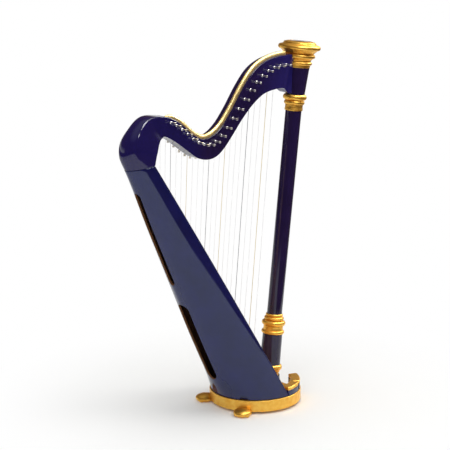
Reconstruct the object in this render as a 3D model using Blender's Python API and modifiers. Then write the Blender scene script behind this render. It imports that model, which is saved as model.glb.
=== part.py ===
# Small lever harp with 21 strings: model of its structure.
# Metres, +Z up. The harp's plane is XZ: the column stands at +X, the soundbox leans back to -X,
# the tuning keys go on the -Y side and the strings and levers are on the +Y side.
import math

import bmesh
import bpy
from mathutils import Matrix, Vector

# Clearance between pieces that touch, and running clearance of pieces that turn
seat = 0.0003
running = 0.0003
cope_clearance = 0.0006

# Round base
plinth_radius = 0.103
plinth_low = 0.006
plinth_height = 0.025
rim_width = 0.022
step_inset = 0.0015
step_height = 0.012
moulding_height = 0.008
pedestal_height = 0.019
mouth_half_angle = math.radians(19)
cleft_angle = math.radians(54)
cleft_depth = 0.012
cleft_half_width = 0.006
foot_stand_out = 0.009
foot_angle = math.radians(144.5)
foot_length = 0.046
foot_width = 0.041
foot_height = 0.017
glide_radius = 0.009
glide_angle = math.radians(38)

# Column; its heights are measured along its own leaning axis from the top of its pedestal
column_sides = 24
column_foot_x = 0.0408
column_lean = math.radians(6.45)
pedestal_radius = 0.025
foot_ring_height = 0.026
foot_ring_radius = 0.0262
lower_shaft_foot_radius = 0.0234
lower_shaft_radius = 0.0222
lower_collar_low = 0.097
lower_collar_height = 0.046
lower_collar_stand_out = 0.0098
shaft_low_radius = 0.0171
shaft_high_radius = 0.0179
upper_collar_low = 0.605
upper_collar_height = 0.036
upper_collar_stand_out = 0.0085
drum_low_radius = 0.021
drum_high_radius = 0.0264
drum_height = 0.060
crown_height = 0.058
crown_radius = 0.0472
crown_plate_radius = 0.036
crown_ring_radius = 0.0366
crown_foot_radius = 0.031
inlay_radius = 0.0235
inlay_thickness = 0.003
inlay_depth = 0.0006
inlay_dome = 0.0014

# Soundbox: the front of the soundboard is a plane that leans back from the base
board_foot_x = 0.0155
board_lean = math.radians(30)
board_thickness = 0.003
box_top = 0.583
box_edge_inset = 0.0025
box_half_width_high = 0.0355
box_side_bow = 0.004
box_depths = (0.1055, 0.0875, 0.0695, 0.0505)
box_roundness_low = 2.1
box_roundness = 1.7
box_top_tilt = math.radians(11)
box_wall = 0.005
box_end_wall = 0.012
upper_hole_low = 0.309
upper_hole_high = 0.523
upper_hole_half_width = 0.0095
lower_hole_low = 0.074
lower_hole_high = 0.262
lower_hole_half_width = 0.017
notch_radius = 0.0098
notch_depth = 0.009
rib_width = 0.010
rib_thickness = 0.003
rib_margin = 0.011

# Neck: points of its upper and lower edge, from the shoulder to the column
neck_thickness = 0.0336
neck_start_x = -0.2612
neck_top_line = (
    (neck_start_x, 0.6785), (-0.240, 0.6712), (-0.2182, 0.659), (-0.200, 0.643), (-0.180, 0.6285), (-0.158, 0.620),
    (-0.132, 0.6265), (-0.106, 0.6455), (-0.080, 0.677), (-0.050, 0.7195), (-0.020, 0.753), (0.012, 0.771),
    (0.046, 0.7785), (0.084, 0.7795))
neck_low_line = (
    (neck_start_x, 0.6365), (-0.231, 0.6195), (-0.200, 0.597), (-0.176, 0.581), (-0.150, 0.5745), (-0.126, 0.5785),
    (-0.104, 0.594), (-0.080, 0.6205), (-0.054, 0.651), (-0.024, 0.680), (0.006, 0.6995), (0.036, 0.7065),
    (0.064, 0.707), (0.0855, 0.6935))
neck_points = 41
bead_width = 0.019
bead_height = 0.0034

# Strings, from the longest at the column to the shortest at the shoulder
string_count = 21
first_pin_x = 0.072
gap_bass = 0.0177
gap_treble = 0.0142
pin_line = (
    (-0.256, 0.669), (-0.232, 0.657), (-0.205, 0.637), (-0.178, 0.6165), (-0.150, 0.607), (-0.124, 0.614),
    (-0.098, 0.636), (-0.064, 0.675), (-0.027, 0.7165), (0.007, 0.743), (0.040, 0.7565), (0.080, 0.7585))
string_lean = math.radians(6.8)
string_radius_bass = 0.0006
string_radius_treble = 0.0004
string_stand_off = 0.0087
string_foot_y = 0.006
string_in_rib = 0.0012
bridge_drop = 0.010
bridge_shift = 0.0022
bridge_radius = 0.0014
bridge_beyond_string = 0.0035
lever_share = 0.050
winding_turns = 2
winding_points = 8
winding_gap = 0.0006

# Tuning pin
pin_sides = 8
pin_radius = 0.0024
pin_beyond_string = 0.0036
pin_key_end = 0.016
pin_collar_radius = 0.0035
pin_collar_thickness = 0.0018
pin_square = 0.0036
pin_square_length = 0.0085

# Sharping lever, turning about an axle that crosses its string
lever_hub_radius = 0.0029
lever_axle_radius = 0.0012
lever_axle_sides = 6
lever_above_string = 0.005
lever_width = 0.0054
lever_offset = 0.0005
lever_reach = 0.0165
lever_handle_thickness = 0.0024
lever_handle_bend = 0.0024
nose_clearance = 0.0003
nose_half_width = 0.0006
axle_end_length = 0.001
post_thickness = 0.0026
post_half_length = 0.0026
post_above_axle = 0.0016
fret_width = 0.0036
fret_length = 0.0022
fret_clearance = 0.0004
root_depth = 0.001

lacquer = ("lacquer", (0.03, 0.016, 0.09), 0.15, 0.0)
gilding = ("gilding", (0.68, 0.36, 0.05), 0.28, 1.0)
nylon = ("nylon", (0.75, 0.7, 0.6), 0.35, 0.0)
nickel = ("nickel", (0.7, 0.7, 0.68), 0.22, 1.0)
lever_plastic = ("lever plastic", (0.02, 0.02, 0.025), 0.4, 0.0)
felt = ("felt", (0.05, 0.045, 0.04), 0.9, 0.0)

for old in list(bpy.data.objects):
    bpy.data.objects.remove(old, do_unlink=True)


def new_collection(name):
    collection = bpy.data.collections.new(name)
    bpy.context.scene.collection.children.link(collection)
    return collection


harp = new_collection("lever_harp")
cutters = new_collection("cutters")
materials = {}


def material(recipe):
    name, colour, roughness, metallic = recipe
    if name not in materials:
        made = bpy.data.materials.new(name)
        made.use_nodes = True
        shader = made.node_tree.nodes["Principled BSDF"]
        shader.inputs["Base Color"].default_value = (*colour, 1)
        shader.inputs["Roughness"].default_value = roughness
        shader.inputs["Metallic"].default_value = metallic
        materials[name] = made
    return materials[name]


def add_piece(name, mesh, recipe, place=None):
    """A finished piece; one that turns is placed with its origin on its axis."""
    mesh.materials.clear()
    mesh.materials.append(material(recipe))
    mesh.shade_smooth()
    mesh.set_sharp_from_angle(angle=math.radians(35))
    obj = bpy.data.objects.new(name, mesh)
    harp.objects.link(obj)
    if place:
        obj.matrix_world = place
    return obj


def add_helper(name, data):
    obj = bpy.data.objects.new(name, data)
    cutters.objects.link(obj)
    obj.hide_render = True
    obj.display_type = "WIRE"
    return obj


def frozen(obj):
    """Mesh of a helper as it is evaluated, in world space; the helper itself goes."""
    bpy.context.view_layer.update()
    mesh = bpy.data.meshes.new_from_object(obj.evaluated_get(bpy.context.evaluated_depsgraph_get()))
    mesh.transform(obj.matrix_world)
    work = bmesh.new()
    work.from_mesh(mesh)
    bmesh.ops.remove_doubles(work, verts=work.verts, dist=0.000002)
    work.to_mesh(mesh)
    work.free()
    bpy.data.objects.remove(obj, do_unlink=True)
    return mesh


def cut(mesh, tools, operation="DIFFERENCE"):
    """Mesh after one Boolean operation with each tool mesh."""
    obj = add_helper("work", mesh)
    for tool in tools:
        modifier = obj.modifiers.new("cut", "BOOLEAN")
        modifier.operation = operation
        modifier.solver = "EXACT"
        modifier.object = add_helper("tool", tool)
    result = frozen(obj)
    for tool in list(cutters.objects):
        bpy.data.objects.remove(tool, do_unlink=True)
    return result


def merged(meshes):
    """One mesh that holds several separate ones."""
    work = bmesh.new()
    for mesh in meshes:
        work.from_mesh(mesh)
    result = bpy.data.meshes.new("merged")
    work.to_mesh(result)
    work.free()
    return result


def box(size, centre):
    work = bmesh.new()
    bmesh.ops.create_cube(work, size=1)
    bmesh.ops.scale(work, vec=size, verts=work.verts)
    bmesh.ops.translate(work, vec=centre, verts=work.verts)
    mesh = bpy.data.meshes.new("box")
    work.to_mesh(mesh)
    work.free()
    return mesh


def cylinder(radius, length, sides, place):
    """Cylinder along its own Z, centred, then placed by a matrix."""
    work = bmesh.new()
    bmesh.ops.create_cone(work, cap_ends=True, segments=sides, radius1=radius, radius2=radius, depth=length)
    mesh = bpy.data.meshes.new("cylinder")
    work.to_mesh(mesh)
    work.free()
    mesh.transform(place)
    return mesh


def turned(profile, sides):
    """Solid of revolution about Z; the profile is (radius, height), from the top down its outer side."""
    mesh = bpy.data.meshes.new("profile")
    mesh.from_pydata([(radius, 0, height) for radius, height in profile],
                     [(i, i + 1) for i in range(len(profile) - 1)], [])
    obj = add_helper("profile", mesh)
    screw = obj.modifiers.new("turn", "SCREW")
    screw.steps = sides
    screw.render_steps = sides
    screw.use_merge_vertices = True
    screw.merge_threshold = 0.000005
    return frozen(obj)


def half_round(radius, low, high, bulge, steps):
    """Profile points of a half-round bead between two heights, from the top down."""
    middle = (low + high) / 2
    half = (high - low) / 2
    angles = [math.pi / 2 - math.pi * i / steps for i in range(steps + 1)]
    return [(radius - bulge + bulge * math.cos(angle), middle + half * math.sin(angle)) for angle in angles]


def plate(outline, low, high, holes=()):
    """Flat outline in XY, extruded from one height to another."""
    curve = bpy.data.curves.new("outline", "CURVE")
    curve.dimensions = "2D"
    curve.fill_mode = "BOTH"
    curve.extrude = (high - low) / 2
    for loop in (outline, *holes):
        spline = curve.splines.new("POLY")
        spline.points.add(len(loop) - 1)
        for point, (x, y) in zip(spline.points, loop):
            point.co = (x, y, 0, 1)
        spline.use_cyclic_u = True
    obj = add_helper("outline", curve)
    obj.location.z = (high + low) / 2
    return frozen(obj)


def tube(points, radius):
    curve = bpy.data.curves.new("tube", "CURVE")
    curve.dimensions = "3D"
    curve.bevel_depth = radius
    curve.bevel_resolution = 1
    curve.use_fill_caps = True
    spline = curve.splines.new("POLY")
    spline.points.add(len(points) - 1)
    for point, place in zip(spline.points, points):
        point.co = (*place, 1)
    return frozen(add_helper("tube", curve))


def loft(sections):
    """Solid through closed sections that have the same number of points."""
    count = len(sections[0])
    work = bmesh.new()
    rings = [[work.verts.new(point) for point in section] for section in sections]
    for lower, upper in zip(rings, rings[1:]):
        for i in range(count):
            j = (i + 1) % count
            work.faces.new((lower[i], lower[j], upper[j], upper[i]))
    work.faces.new(reversed(rings[0]))
    work.faces.new(rings[-1])
    bmesh.ops.recalc_face_normals(work, faces=work.faces)
    mesh = bpy.data.meshes.new("loft")
    work.to_mesh(mesh)
    work.free()
    return mesh


def smooth_value(values, place):
    """Value on a smooth curve through numbers or vectors; place counts them from 0."""
    last = len(values) - 1
    k = min(int(place), last - 1)
    t = place - k
    before = values[max(k - 1, 0)]
    start = values[k]
    end = values[k + 1]
    after = values[min(k + 2, last)]
    return 0.5 * (2 * start + (end - before) * t
                  + (2 * before - 5 * start + 4 * end - after) * t ** 2
                  + (3 * start - before - 3 * end + after) * t ** 3)


def flowing(points, count):
    """Points of a smooth curve through the given ones, evenly spread between them."""
    vectors = [Vector(point) for point in points]
    return [smooth_value(vectors, i * (len(points) - 1) / (count - 1)) for i in range(count)]


def height_on(line, x):
    """Height at x of a smooth line whose points run to larger x."""
    points = flowing(line, 240)
    for left, right in zip(points, points[1:]):
        if x <= right[0]:
            return left[1] + (right[1] - left[1]) * (x - left[0]) / (right[0] - left[0])
    return points[-1][1]


def half_oval(half_width, depth, roundness, count):
    """Points (across, back) of a section that is flat in front and rounded behind."""
    points = []
    for i in range(count + 1):
        angle = math.pi * i / count
        across = math.copysign(abs(math.cos(angle)) ** (2 / roundness), math.cos(angle))
        points.append((half_width * across, depth * math.sin(angle) ** (2 / roundness)))
    return points


def arc(radius, start, end, steps, centre_x=0):
    angles = [start + (end - start) * i / steps for i in range(steps + 1)]
    return [(centre_x + radius * math.cos(angle), radius * math.sin(angle)) for angle in angles]


def both_sides(half):
    """Closed outline from its half at y < 0, whose ends may lie on the middle line."""
    mirror = [(x, -y) for x, y in reversed(half) if abs(y) > 0.000001]
    return list(half) + mirror


# Places that follow from the sizes

plinth_high = plinth_low + plinth_height
step_low = plinth_high + seat
step_high = step_low + step_height
pedestal_top = step_low + pedestal_height
column_foot = Vector((column_foot_x, 0, pedestal_top))
place_column = Matrix.Translation(column_foot) @ Matrix.Rotation(column_lean, 4, "Y")
lower_collar_high = lower_collar_low + lower_collar_height
upper_collar_high = upper_collar_low + upper_collar_height
drum_top = upper_collar_high + drum_height
crown_low = drum_top + seat
crown_top = crown_low + crown_height
crown_flange_low = crown_low + 0.0387
crown_flange_high = crown_low + 0.0500
crown_ring_low = crown_low + 0.0205
crown_ring_high = crown_low + 0.0300
crown_bead_low = crown_low + 0.0055
crown_bead_high = crown_low + 0.0135
box_low = plinth_high + seat
rim_inset = (board_thickness + seat) / math.cos(board_lean)
string_side = neck_thickness / 2
string_y = string_side + string_stand_off


def column_x(z):
    return column_foot_x + (z - pedestal_top) * math.tan(column_lean)


def board_x(z):
    return board_foot_x - (z - plinth_high) * math.tan(board_lean)


def box_share(z):
    return max(0, (z - plinth_high) / (box_top - plinth_high))


def box_half_width(z):
    share = box_share(z)
    low = math.sqrt((plinth_radius - box_edge_inset) ** 2 - board_foot_x ** 2)
    return low + (box_half_width_high - low) * share + 4 * box_side_bow * share * (1 - share)


def box_depth(z):
    at_foot = plinth_radius - box_edge_inset + board_foot_x
    return smooth_value((at_foot, *box_depths), box_share(z) * len(box_depths))


# Soundbox: level sections that follow the base's circle below and tilt a little towards the top

def box_section(z, inset):
    share = box_share(z)
    flare = max(0, 1 - share / 0.14) ** 2
    roundness = box_roundness + (box_roundness_low - box_roundness) * flare
    tilt = box_top_tilt * share ** 2
    section = half_oval(box_half_width(z) - inset, box_depth(z) - inset - rim_inset, roundness, 18)
    front = Vector((board_x(z) - rim_inset, 0, z - rim_inset * math.tan(tilt)))
    back = Vector((-math.cos(tilt), 0, -math.sin(tilt)))
    return [front + back * depth + Vector((0, y, 0)) for y, depth in section]


def levels(low, high, count):
    return [low + (high - low) * i / count for i in range(count + 1)]


box_levels = levels(box_low, box_low + 0.03, 2) + levels(box_low + 0.06, box_top, 9)


def sound_hole(low, high, half_width):
    """Cutter with round ends along the middle of the soundbox's back."""
    ends = [Vector((board_x(z) - box_depth(z), 0, z)) for z in (low, high)]
    along = (ends[1] - ends[0]).normalized()
    straight = (ends[1] - ends[0]).length / 2 - half_width
    outline = arc(half_width, -math.pi / 2, math.pi / 2, 7, straight)
    outline += arc(half_width, math.pi / 2, math.pi * 1.5, 7, -straight)
    mesh = plate(outline, -box_depths[0] / 2, box_depths[0] / 2)
    turn = Matrix((along, Vector((0, 1, 0)), along.cross(Vector((0, 1, 0))))).transposed().to_4x4()
    mesh.transform(Matrix.Translation((ends[0] + ends[1]) / 2) @ turn)
    return mesh


def foot_notch(angle):
    """Cutter for the half-round notch in the soundbox's lower edge over a back foot."""
    reach = plinth_radius - notch_depth
    notch = cylinder(notch_radius, plinth_radius, 16, Matrix.Rotation(math.pi / 2, 4, "Y"))
    notch.transform(Matrix.Rotation(angle, 4, "Z") @ Matrix.Translation((reach + plinth_radius / 2, 0, box_low)))
    return notch


def build_soundbox():
    outer = loft([box_section(z, 0) for z in box_levels])
    hollow = []
    for z in levels(box_low + box_end_wall, box_top - box_end_wall, 8):
        section = box_section(z, box_wall)
        section[0].x += board_thickness * 3
        section[-1].x += board_thickness * 3
        hollow.append(section)
    shell = cut(outer, [loft(hollow)])
    holes = [sound_hole(upper_hole_low, upper_hole_high, upper_hole_half_width),
             sound_hole(lower_hole_low, lower_hole_high, lower_hole_half_width)]
    notches = [foot_notch(-foot_angle), foot_notch(foot_angle)]
    add_piece("soundbox_shell", cut(shell, holes + notches), lacquer)


def build_soundboard():
    thickness = board_thickness / math.cos(board_lean)
    sections = []
    for z in box_levels:
        half = box_half_width(z)
        drop = thickness * math.tan(box_top_tilt * box_share(z) ** 2)
        corners = [(board_x(z), z), (board_x(z) - thickness, z - drop)]
        sections.append([Vector((x, half, height)) for x, height in corners]
                        + [Vector((x, -half, height)) for x, height in reversed(corners)])
    add_piece("soundboard", loft(sections), lacquer)


build_soundbox()
build_soundboard()


# Shoulder block: a loft from the soundbox's rounded section to the neck's flat-sided one.
# Its inner and outer lines are given from the top of the soundboard and of the back.

shoulder_inner = ((0, 0), (0.003, 0.016), (0.0075, 0.0295), (0.0165, 0.042), (0.029, 0.0505))
shoulder_outer = ((0, 0), (-0.0095, 0.0275), (-0.0035, 0.058), (0.018, 0.0865), (0.049, 0.1065))
shoulder_narrowing = (0, 0.14, 0.38, 0.67, 0.9, 1)
shoulder_roundness = (box_roundness, 1.75, 2.0, 2.6, 4.6, 9.0)
shoulder_sections = 13


def build_shoulder():
    front = Vector((board_x(box_top), 0, box_top + seat))
    back = front + box_depth(box_top) * Vector((-math.cos(box_top_tilt), 0, -math.sin(box_top_tilt)))
    end_x = neck_start_x - seat
    inner = [front + Vector((x, 0, z)) for x, z in shoulder_inner] + [Vector((end_x, 0, neck_low_line[0][1]))]
    outer = [back + Vector((x, 0, z)) for x, z in shoulder_outer] + [Vector((end_x, 0, neck_top_line[0][1]))]
    narrowing = box_half_width_high - neck_thickness / 2
    shape = [(box_half_width_high - share * narrowing, roundness)
             for share, roundness in zip(shoulder_narrowing, shoulder_roundness)]
    sections = []
    for low, high, (half, roundness) in zip(flowing(inner, shoulder_sections), flowing(outer, shoulder_sections),
                                            flowing(shape, shoulder_sections)):
        section = half_oval(half, (high - low).length, roundness, 18)
        direction = (high - low).normalized()
        sections.append([low + direction * depth + Vector((0, y, 0)) for y, depth in section])
    add_piece("shoulder_block", loft(sections), lacquer)


build_shoulder()


# Column group, turned about the column's own axis

def add_turned(name, profile, recipe):
    mesh = turned(profile, column_sides)
    mesh.transform(place_column)
    add_piece(name, mesh, recipe)


def ring(outline, bore):
    """Closed profile of a ring: its outer side from the top down, then its bore."""
    top = outline[0][1]
    low = outline[-1][1]
    return [(bore, top)] + outline + [(bore, low), (bore, top)]


def build_column():
    low = foot_ring_height + seat
    add_turned("column", [
        (0, drum_top), (drum_high_radius, drum_top), (drum_low_radius, upper_collar_high + seat),
        (shaft_high_radius, upper_collar_high + seat), (shaft_high_radius, upper_collar_low),
        (shaft_low_radius, lower_collar_high), (shaft_low_radius, lower_collar_low - seat),
        (lower_shaft_radius, lower_collar_low - seat), (lower_shaft_foot_radius, low), (0, low)], lacquer)


def build_crown():
    disc_seat = crown_top - inlay_depth - inlay_thickness
    profile = [(0, disc_seat), (inlay_radius + seat, disc_seat), (inlay_radius + seat, crown_top),
               (inlay_radius + 0.003, crown_top), (crown_plate_radius - 0.002, crown_low + 0.056),
               (crown_plate_radius, crown_low + 0.0545), (crown_plate_radius + 0.0005, crown_low + 0.0522)]
    profile += half_round(crown_radius, crown_flange_low, crown_flange_high, 0.0055, 4)
    profile += [(crown_ring_radius + 0.0012, crown_low + 0.036),
                (crown_ring_radius - 0.0012, crown_ring_high + 0.0015)]
    profile += half_round(crown_ring_radius, crown_ring_low, crown_ring_high, 0.004, 3)
    profile += [(crown_foot_radius + 0.0012, crown_ring_low - 0.002),
                (crown_foot_radius - 0.0008, crown_bead_high + 0.0013)]
    profile += half_round(crown_foot_radius, crown_bead_low, crown_bead_high, 0.0035, 3)
    profile += [(drum_high_radius + 0.0011, crown_low + 0.0025), (drum_high_radius + 0.0004, crown_low),
                (0, crown_low)]
    add_turned("crown", profile, gilding)
    disc_low = disc_seat + seat
    disc_high = disc_low + inlay_thickness
    add_turned("crown_inlay", [(0, disc_high + inlay_dome), (inlay_radius * 0.55, disc_high + inlay_dome * 0.7),
                               (inlay_radius - 0.0008, disc_high), (inlay_radius, disc_high - 0.0008),
                               (inlay_radius, disc_low), (0, disc_low)], lacquer)


def build_collars():
    low = upper_collar_low
    radius = shaft_high_radius
    outline = half_round(radius + upper_collar_stand_out, low + 0.0235, upper_collar_high, 0.005, 4)
    outline += half_round(radius + 0.005, low + 0.0135, low + 0.0225, 0.003, 3)
    outline += [(radius + 0.002, low + 0.012), (radius + 0.0025, low + 0.003), (radius + 0.0017, low)]
    add_turned("upper_collar", ring(outline, radius + seat), gilding)
    low = lower_collar_low
    radius = shaft_low_radius
    outline = half_round(radius + 0.0025, low + 0.040, lower_collar_high, 0.002, 3)
    outline += half_round(radius + 0.0053, low + 0.032, low + 0.039, 0.003, 3)
    outline += half_round(radius + lower_collar_stand_out, low + 0.0195, low + 0.0305, 0.005, 4)
    outline += [(radius + 0.0055, low + 0.0185), (radius + 0.0055, low + 0.0095)]
    outline += half_round(radius + 0.0088, low, low + 0.0085, 0.0035, 3)
    add_turned("lower_collar", ring(outline, radius + seat), gilding)


def build_foot_ring():
    profile = [(0, foot_ring_height)]
    profile += half_round(foot_ring_radius, foot_ring_height - 0.0125, foot_ring_height, 0.005, 3)
    profile += [(foot_ring_radius - 0.0021, 0.0105), (foot_ring_radius - 0.0041, 0.0045),
                (foot_ring_radius - 0.0051, -0.004), (0, -0.004)]
    mesh = turned(profile, column_sides)
    mesh.transform(place_column)
    level = box((0.1, 0.1, 0.02), (column_foot_x, 0, pedestal_top + seat - 0.01))
    add_piece("column_foot_ring", cut(mesh, [level]), gilding)


build_column()
build_crown()
build_collars()
build_foot_ring()


# Base: open in front, where the column's pedestal stands on a tongue in a round recess

def rim_outline(radius, clefts):
    """Outer line of the base at y < 0, from the mouth to the side."""
    side = cleft_half_width / radius
    if not clefts:
        return arc(radius, -mouth_half_angle, -math.pi / 2, 12)
    tip = radius - cleft_depth
    return (arc(radius, -mouth_half_angle, -(cleft_angle - side), 5)
            + [(tip * math.cos(cleft_angle), -tip * math.sin(cleft_angle))]
            + arc(radius, -(cleft_angle + side), -math.pi / 2, 6))


def recess_outline():
    """Inner line at y < 0, from the tip of the tongue round the recess to the mouth."""
    inner = plinth_radius - rim_width
    back = column_foot_x - pedestal_radius / 2
    tongue = arc(pedestal_radius, 0, -math.pi * 2 / 3, 8, column_foot_x)
    return tongue, arc(inner, -math.acos(back / inner), -mouth_half_angle, 7)


def build_plinth():
    tongue, recess = recess_outline()
    half = tongue + recess + rim_outline(plinth_radius, False)
    half += arc(plinth_radius, -math.pi / 2, -math.pi, 14)[1:]
    add_piece("base_plinth", plate(both_sides(half), plinth_low, plinth_high), gilding)


def build_step():
    tongue, recess = recess_outline()
    radius = plinth_radius - step_inset
    front_x = board_x(step_low) - 0.004
    side_y = -math.sqrt(radius ** 2 - front_x ** 2)
    rim = [point for point in rim_outline(radius, True) if point[0] > board_foot_x] + [(front_x, side_y)]
    half = tongue + recess + rim
    step = plate(both_sides(half), step_low, step_high)
    loop = recess + rim + [(front_x, recess[0][1] * 0.7), (recess[0][0] - 0.002, recess[0][1] * 0.7)]
    rims = [plate(loop, step_high - root_depth, step_high + moulding_height),
            plate([(x, -y) for x, y in reversed(loop)], step_high - root_depth, step_high + moulding_height)]
    middle = (pedestal_top + step_high - root_depth) / 2
    pedestal = cylinder(pedestal_radius, pedestal_top - step_high + root_depth, 24,
                        Matrix.Translation((column_foot_x, 0, middle)))
    step = cut(step, rims + [pedestal], "UNION")
    behind = box((0.2, 0.4, 0.4), (-0.1, 0, 0))
    behind.transform(Matrix.Translation((board_x(step_low) + seat / math.cos(board_lean), 0, step_low))
                     @ Matrix.Rotation(-board_lean, 4, "Y"))
    add_piece("base_step", cut(step, [behind]), lacquer)


def build_feet():
    clear = cylinder(plinth_radius + seat, 0.1, 72, Matrix.Translation((0, 0, plinth_low - seat + 0.05)))
    reach = plinth_radius + foot_stand_out
    for name, angle in (("back_foot_right", -foot_angle), ("back_foot_left", foot_angle)):
        work = bmesh.new()
        bmesh.ops.create_uvsphere(work, u_segments=16, v_segments=9, radius=0.5)
        bmesh.ops.scale(work, vec=(foot_length, foot_width, foot_height * 1.12), verts=work.verts)
        mesh = bpy.data.meshes.new("paw")
        work.to_mesh(mesh)
        work.free()
        x = reach * math.cos(angle)
        y = reach * math.sin(angle)
        mesh.transform(Matrix.Translation((x, y, foot_height * 0.44)) @ Matrix.Rotation(angle, 4, "Z"))
        ground = box((0.2, 0.2, 0.1), (x, y, -0.05))
        add_piece(name, cut(mesh, [clear, ground]), gilding)
    reach = plinth_radius - rim_width / 2
    for name, angle in (("front_glide_right", -glide_angle), ("front_glide_left", glide_angle)):
        height = plinth_low - seat
        place = Matrix.Translation((reach * math.cos(angle), reach * math.sin(angle), height / 2))
        add_piece(name, cylinder(glide_radius, height, 16, place), felt)


build_plinth()
build_step()
build_feet()


# Strings: where each one is held, from the column to the shoulder

down = Vector((-math.sin(string_lean), 0, -math.cos(string_lean)))
across = Vector((math.cos(string_lean), 0, -math.sin(string_lean)))
outward = Vector((0, 1, 0))
off_board = Vector((math.cos(board_lean), 0, math.sin(board_lean)))


def string_facts(number):
    """Places of one string: its pin, bridge pin, where it leaves that pin, and its foot on the rib."""
    share = number / (string_count - 1)
    pin_x = first_pin_x - number * (gap_bass + (gap_treble - gap_bass) * share / 2)
    pin = Vector((pin_x, 0, height_on(pin_line, pin_x)))
    radius = string_radius_bass + (string_radius_treble - string_radius_bass) * share
    bridge = pin + down * bridge_drop + across * bridge_shift
    passing = bridge + across * (bridge_radius + seat + radius)
    board_point = Vector((board_foot_x, 0, plinth_high)) + off_board * (rib_thickness + seat)
    length = (board_point - passing).dot(off_board) / down.dot(off_board)
    return {"pin": pin, "radius": radius, "bridge": bridge, "passing": passing, "length": length,
            "foot": passing + down * length}


def on_string(facts, distance):
    """Point on a string below its bridge pin; the string also closes in on the soundboard's middle."""
    place = facts["passing"] + down * distance
    return place + outward * (string_y + (string_foot_y - string_y) * distance / facts["length"])


def string_points(facts):
    points = []
    turns = winding_turns * winding_points
    pitch = 2 * facts["radius"] + winding_gap
    wrap = pin_radius + running + facts["radius"]
    for i in range(-turns, 1):
        angle = 2 * math.pi * i / winding_points
        side = (across * math.cos(angle) + down * math.sin(angle)) * wrap
        points.append(facts["pin"] + side + outward * (string_y + pitch * i / winding_points))
    return points + [on_string(facts, 0), on_string(facts, facts["length"] + string_in_rib)]


all_strings = [string_facts(number) for number in range(string_count)]


def build_strings():
    first = all_strings[0]["foot"]
    last = all_strings[-1]["foot"]
    length = (last - first).length + 2 * rib_margin
    rib = box((rib_thickness, rib_width, length), (-rib_thickness / 2, string_foot_y, 0))
    rib.transform(Matrix.Translation((first + last) / 2) @ Matrix.Rotation(-board_lean, 4, "Y"))
    tubes = [tube(string_points(facts), facts["radius"]) for facts in all_strings]
    add_piece("strings_and_rib", cut(rib, tubes, "UNION"), nylon)
    wound = string_points(all_strings[0])[:winding_turns * winding_points]
    half_turn = winding_points // 2
    gap = min((a - b).length for i, a in enumerate(wound) for b in wound[i + half_turn:])
    print("least gap of a winding to itself, mm:", round(1000 * (gap - 2 * string_radius_bass), 2))


build_strings()


# Neck: bored for the pins, coped round the column's top, with the bridge pins and lever posts on it

def neck_edge(line):
    """Points of one edge of the neck, run on to the column's axis."""
    height = line[-1][1]
    return flowing(line, neck_points) + [Vector((column_x(height), height))]


def upright(mesh):
    """Stands a plate made in XY up in the harp's plane, XZ."""
    mesh.transform(Matrix.Rotation(math.pi / 2, 4, "X"))
    return mesh


def cope_cutter():
    gap = cope_clearance
    mesh = turned([
        (0, crown_top), (crown_radius + gap, crown_top), (crown_radius + gap, crown_ring_high + 0.004 - gap),
        (crown_ring_radius + gap, crown_ring_high + gap), (crown_ring_radius + gap, crown_ring_low - gap),
        (crown_foot_radius + gap, crown_bead_high + gap), (crown_foot_radius + gap, crown_low - gap),
        (drum_high_radius + gap, drum_top), (drum_low_radius + gap, upper_collar_high + gap),
        (shaft_high_radius + upper_collar_stand_out + gap, upper_collar_high + gap),
        (shaft_high_radius + upper_collar_stand_out + gap, upper_collar_low), (0, upper_collar_low)],
        column_sides)
    mesh.transform(place_column)
    return mesh


def lever_frame(facts):
    """Place of a lever's axle: x across the string, y outward, z up along the string."""
    place = on_string(facts, facts["length"] * lever_share) + outward * lever_above_string
    return Matrix.Translation(place) @ Matrix((across, outward, -down)).transposed().to_4x4()


def lever_bracket(facts):
    """Post with the axle, and the fret block behind the string."""
    root = string_side - root_depth - lever_frame(facts).translation.y
    post_high = lever_axle_radius + post_above_axle
    post_x = -lever_width / 2 - lever_offset - running - post_thickness / 2
    post = box((post_thickness, post_high - root, 2 * post_half_length), (post_x, (post_high + root) / 2, 0))
    axle_end = lever_width / 2 - lever_offset + axle_end_length
    axle = cylinder(lever_axle_radius, axle_end - post_x, lever_axle_sides,
                    Matrix.Translation(((axle_end + post_x) / 2, 0, 0)) @ Matrix.Rotation(math.pi / 2, 4, "Y"))
    bracket = cut(post, [axle], "UNION")
    fret_high = -lever_above_string - facts["radius"] - fret_clearance
    fret = box((fret_width, fret_high - root, fret_length), (0, (fret_high + root) / 2, 0))
    both = merged([bracket, fret])
    both.transform(lever_frame(facts))
    return both


def build_neck():
    low = neck_edge(neck_low_line)
    top = neck_edge(neck_top_line)
    outline = [tuple(point) for point in low] + [tuple(point) for point in reversed(top)]
    body = upright(plate(outline, -string_side, string_side))
    bore_radius = (pin_radius + running) / math.cos(math.pi / pin_sides)
    lie = Matrix.Rotation(math.pi / 2, 4, "X")
    bores = [cylinder(bore_radius, neck_thickness * 2, pin_sides, Matrix.Translation(facts["pin"]) @ lie)
             for facts in all_strings]
    bridge_length = string_stand_off + bridge_beyond_string + root_depth
    bridge_y = string_side + bridge_length / 2 - root_depth
    bridges = [cylinder(bridge_radius, bridge_length, 6,
                        Matrix.Translation(facts["bridge"] + outward * bridge_y) @ lie) for facts in all_strings]
    brackets = [lever_bracket(facts) for facts in all_strings]
    body = cut(body, [merged(bores), cope_cutter()])
    add_piece("neck", cut(body, [merged(bridges + brackets)], "UNION"), lacquer)


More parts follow.
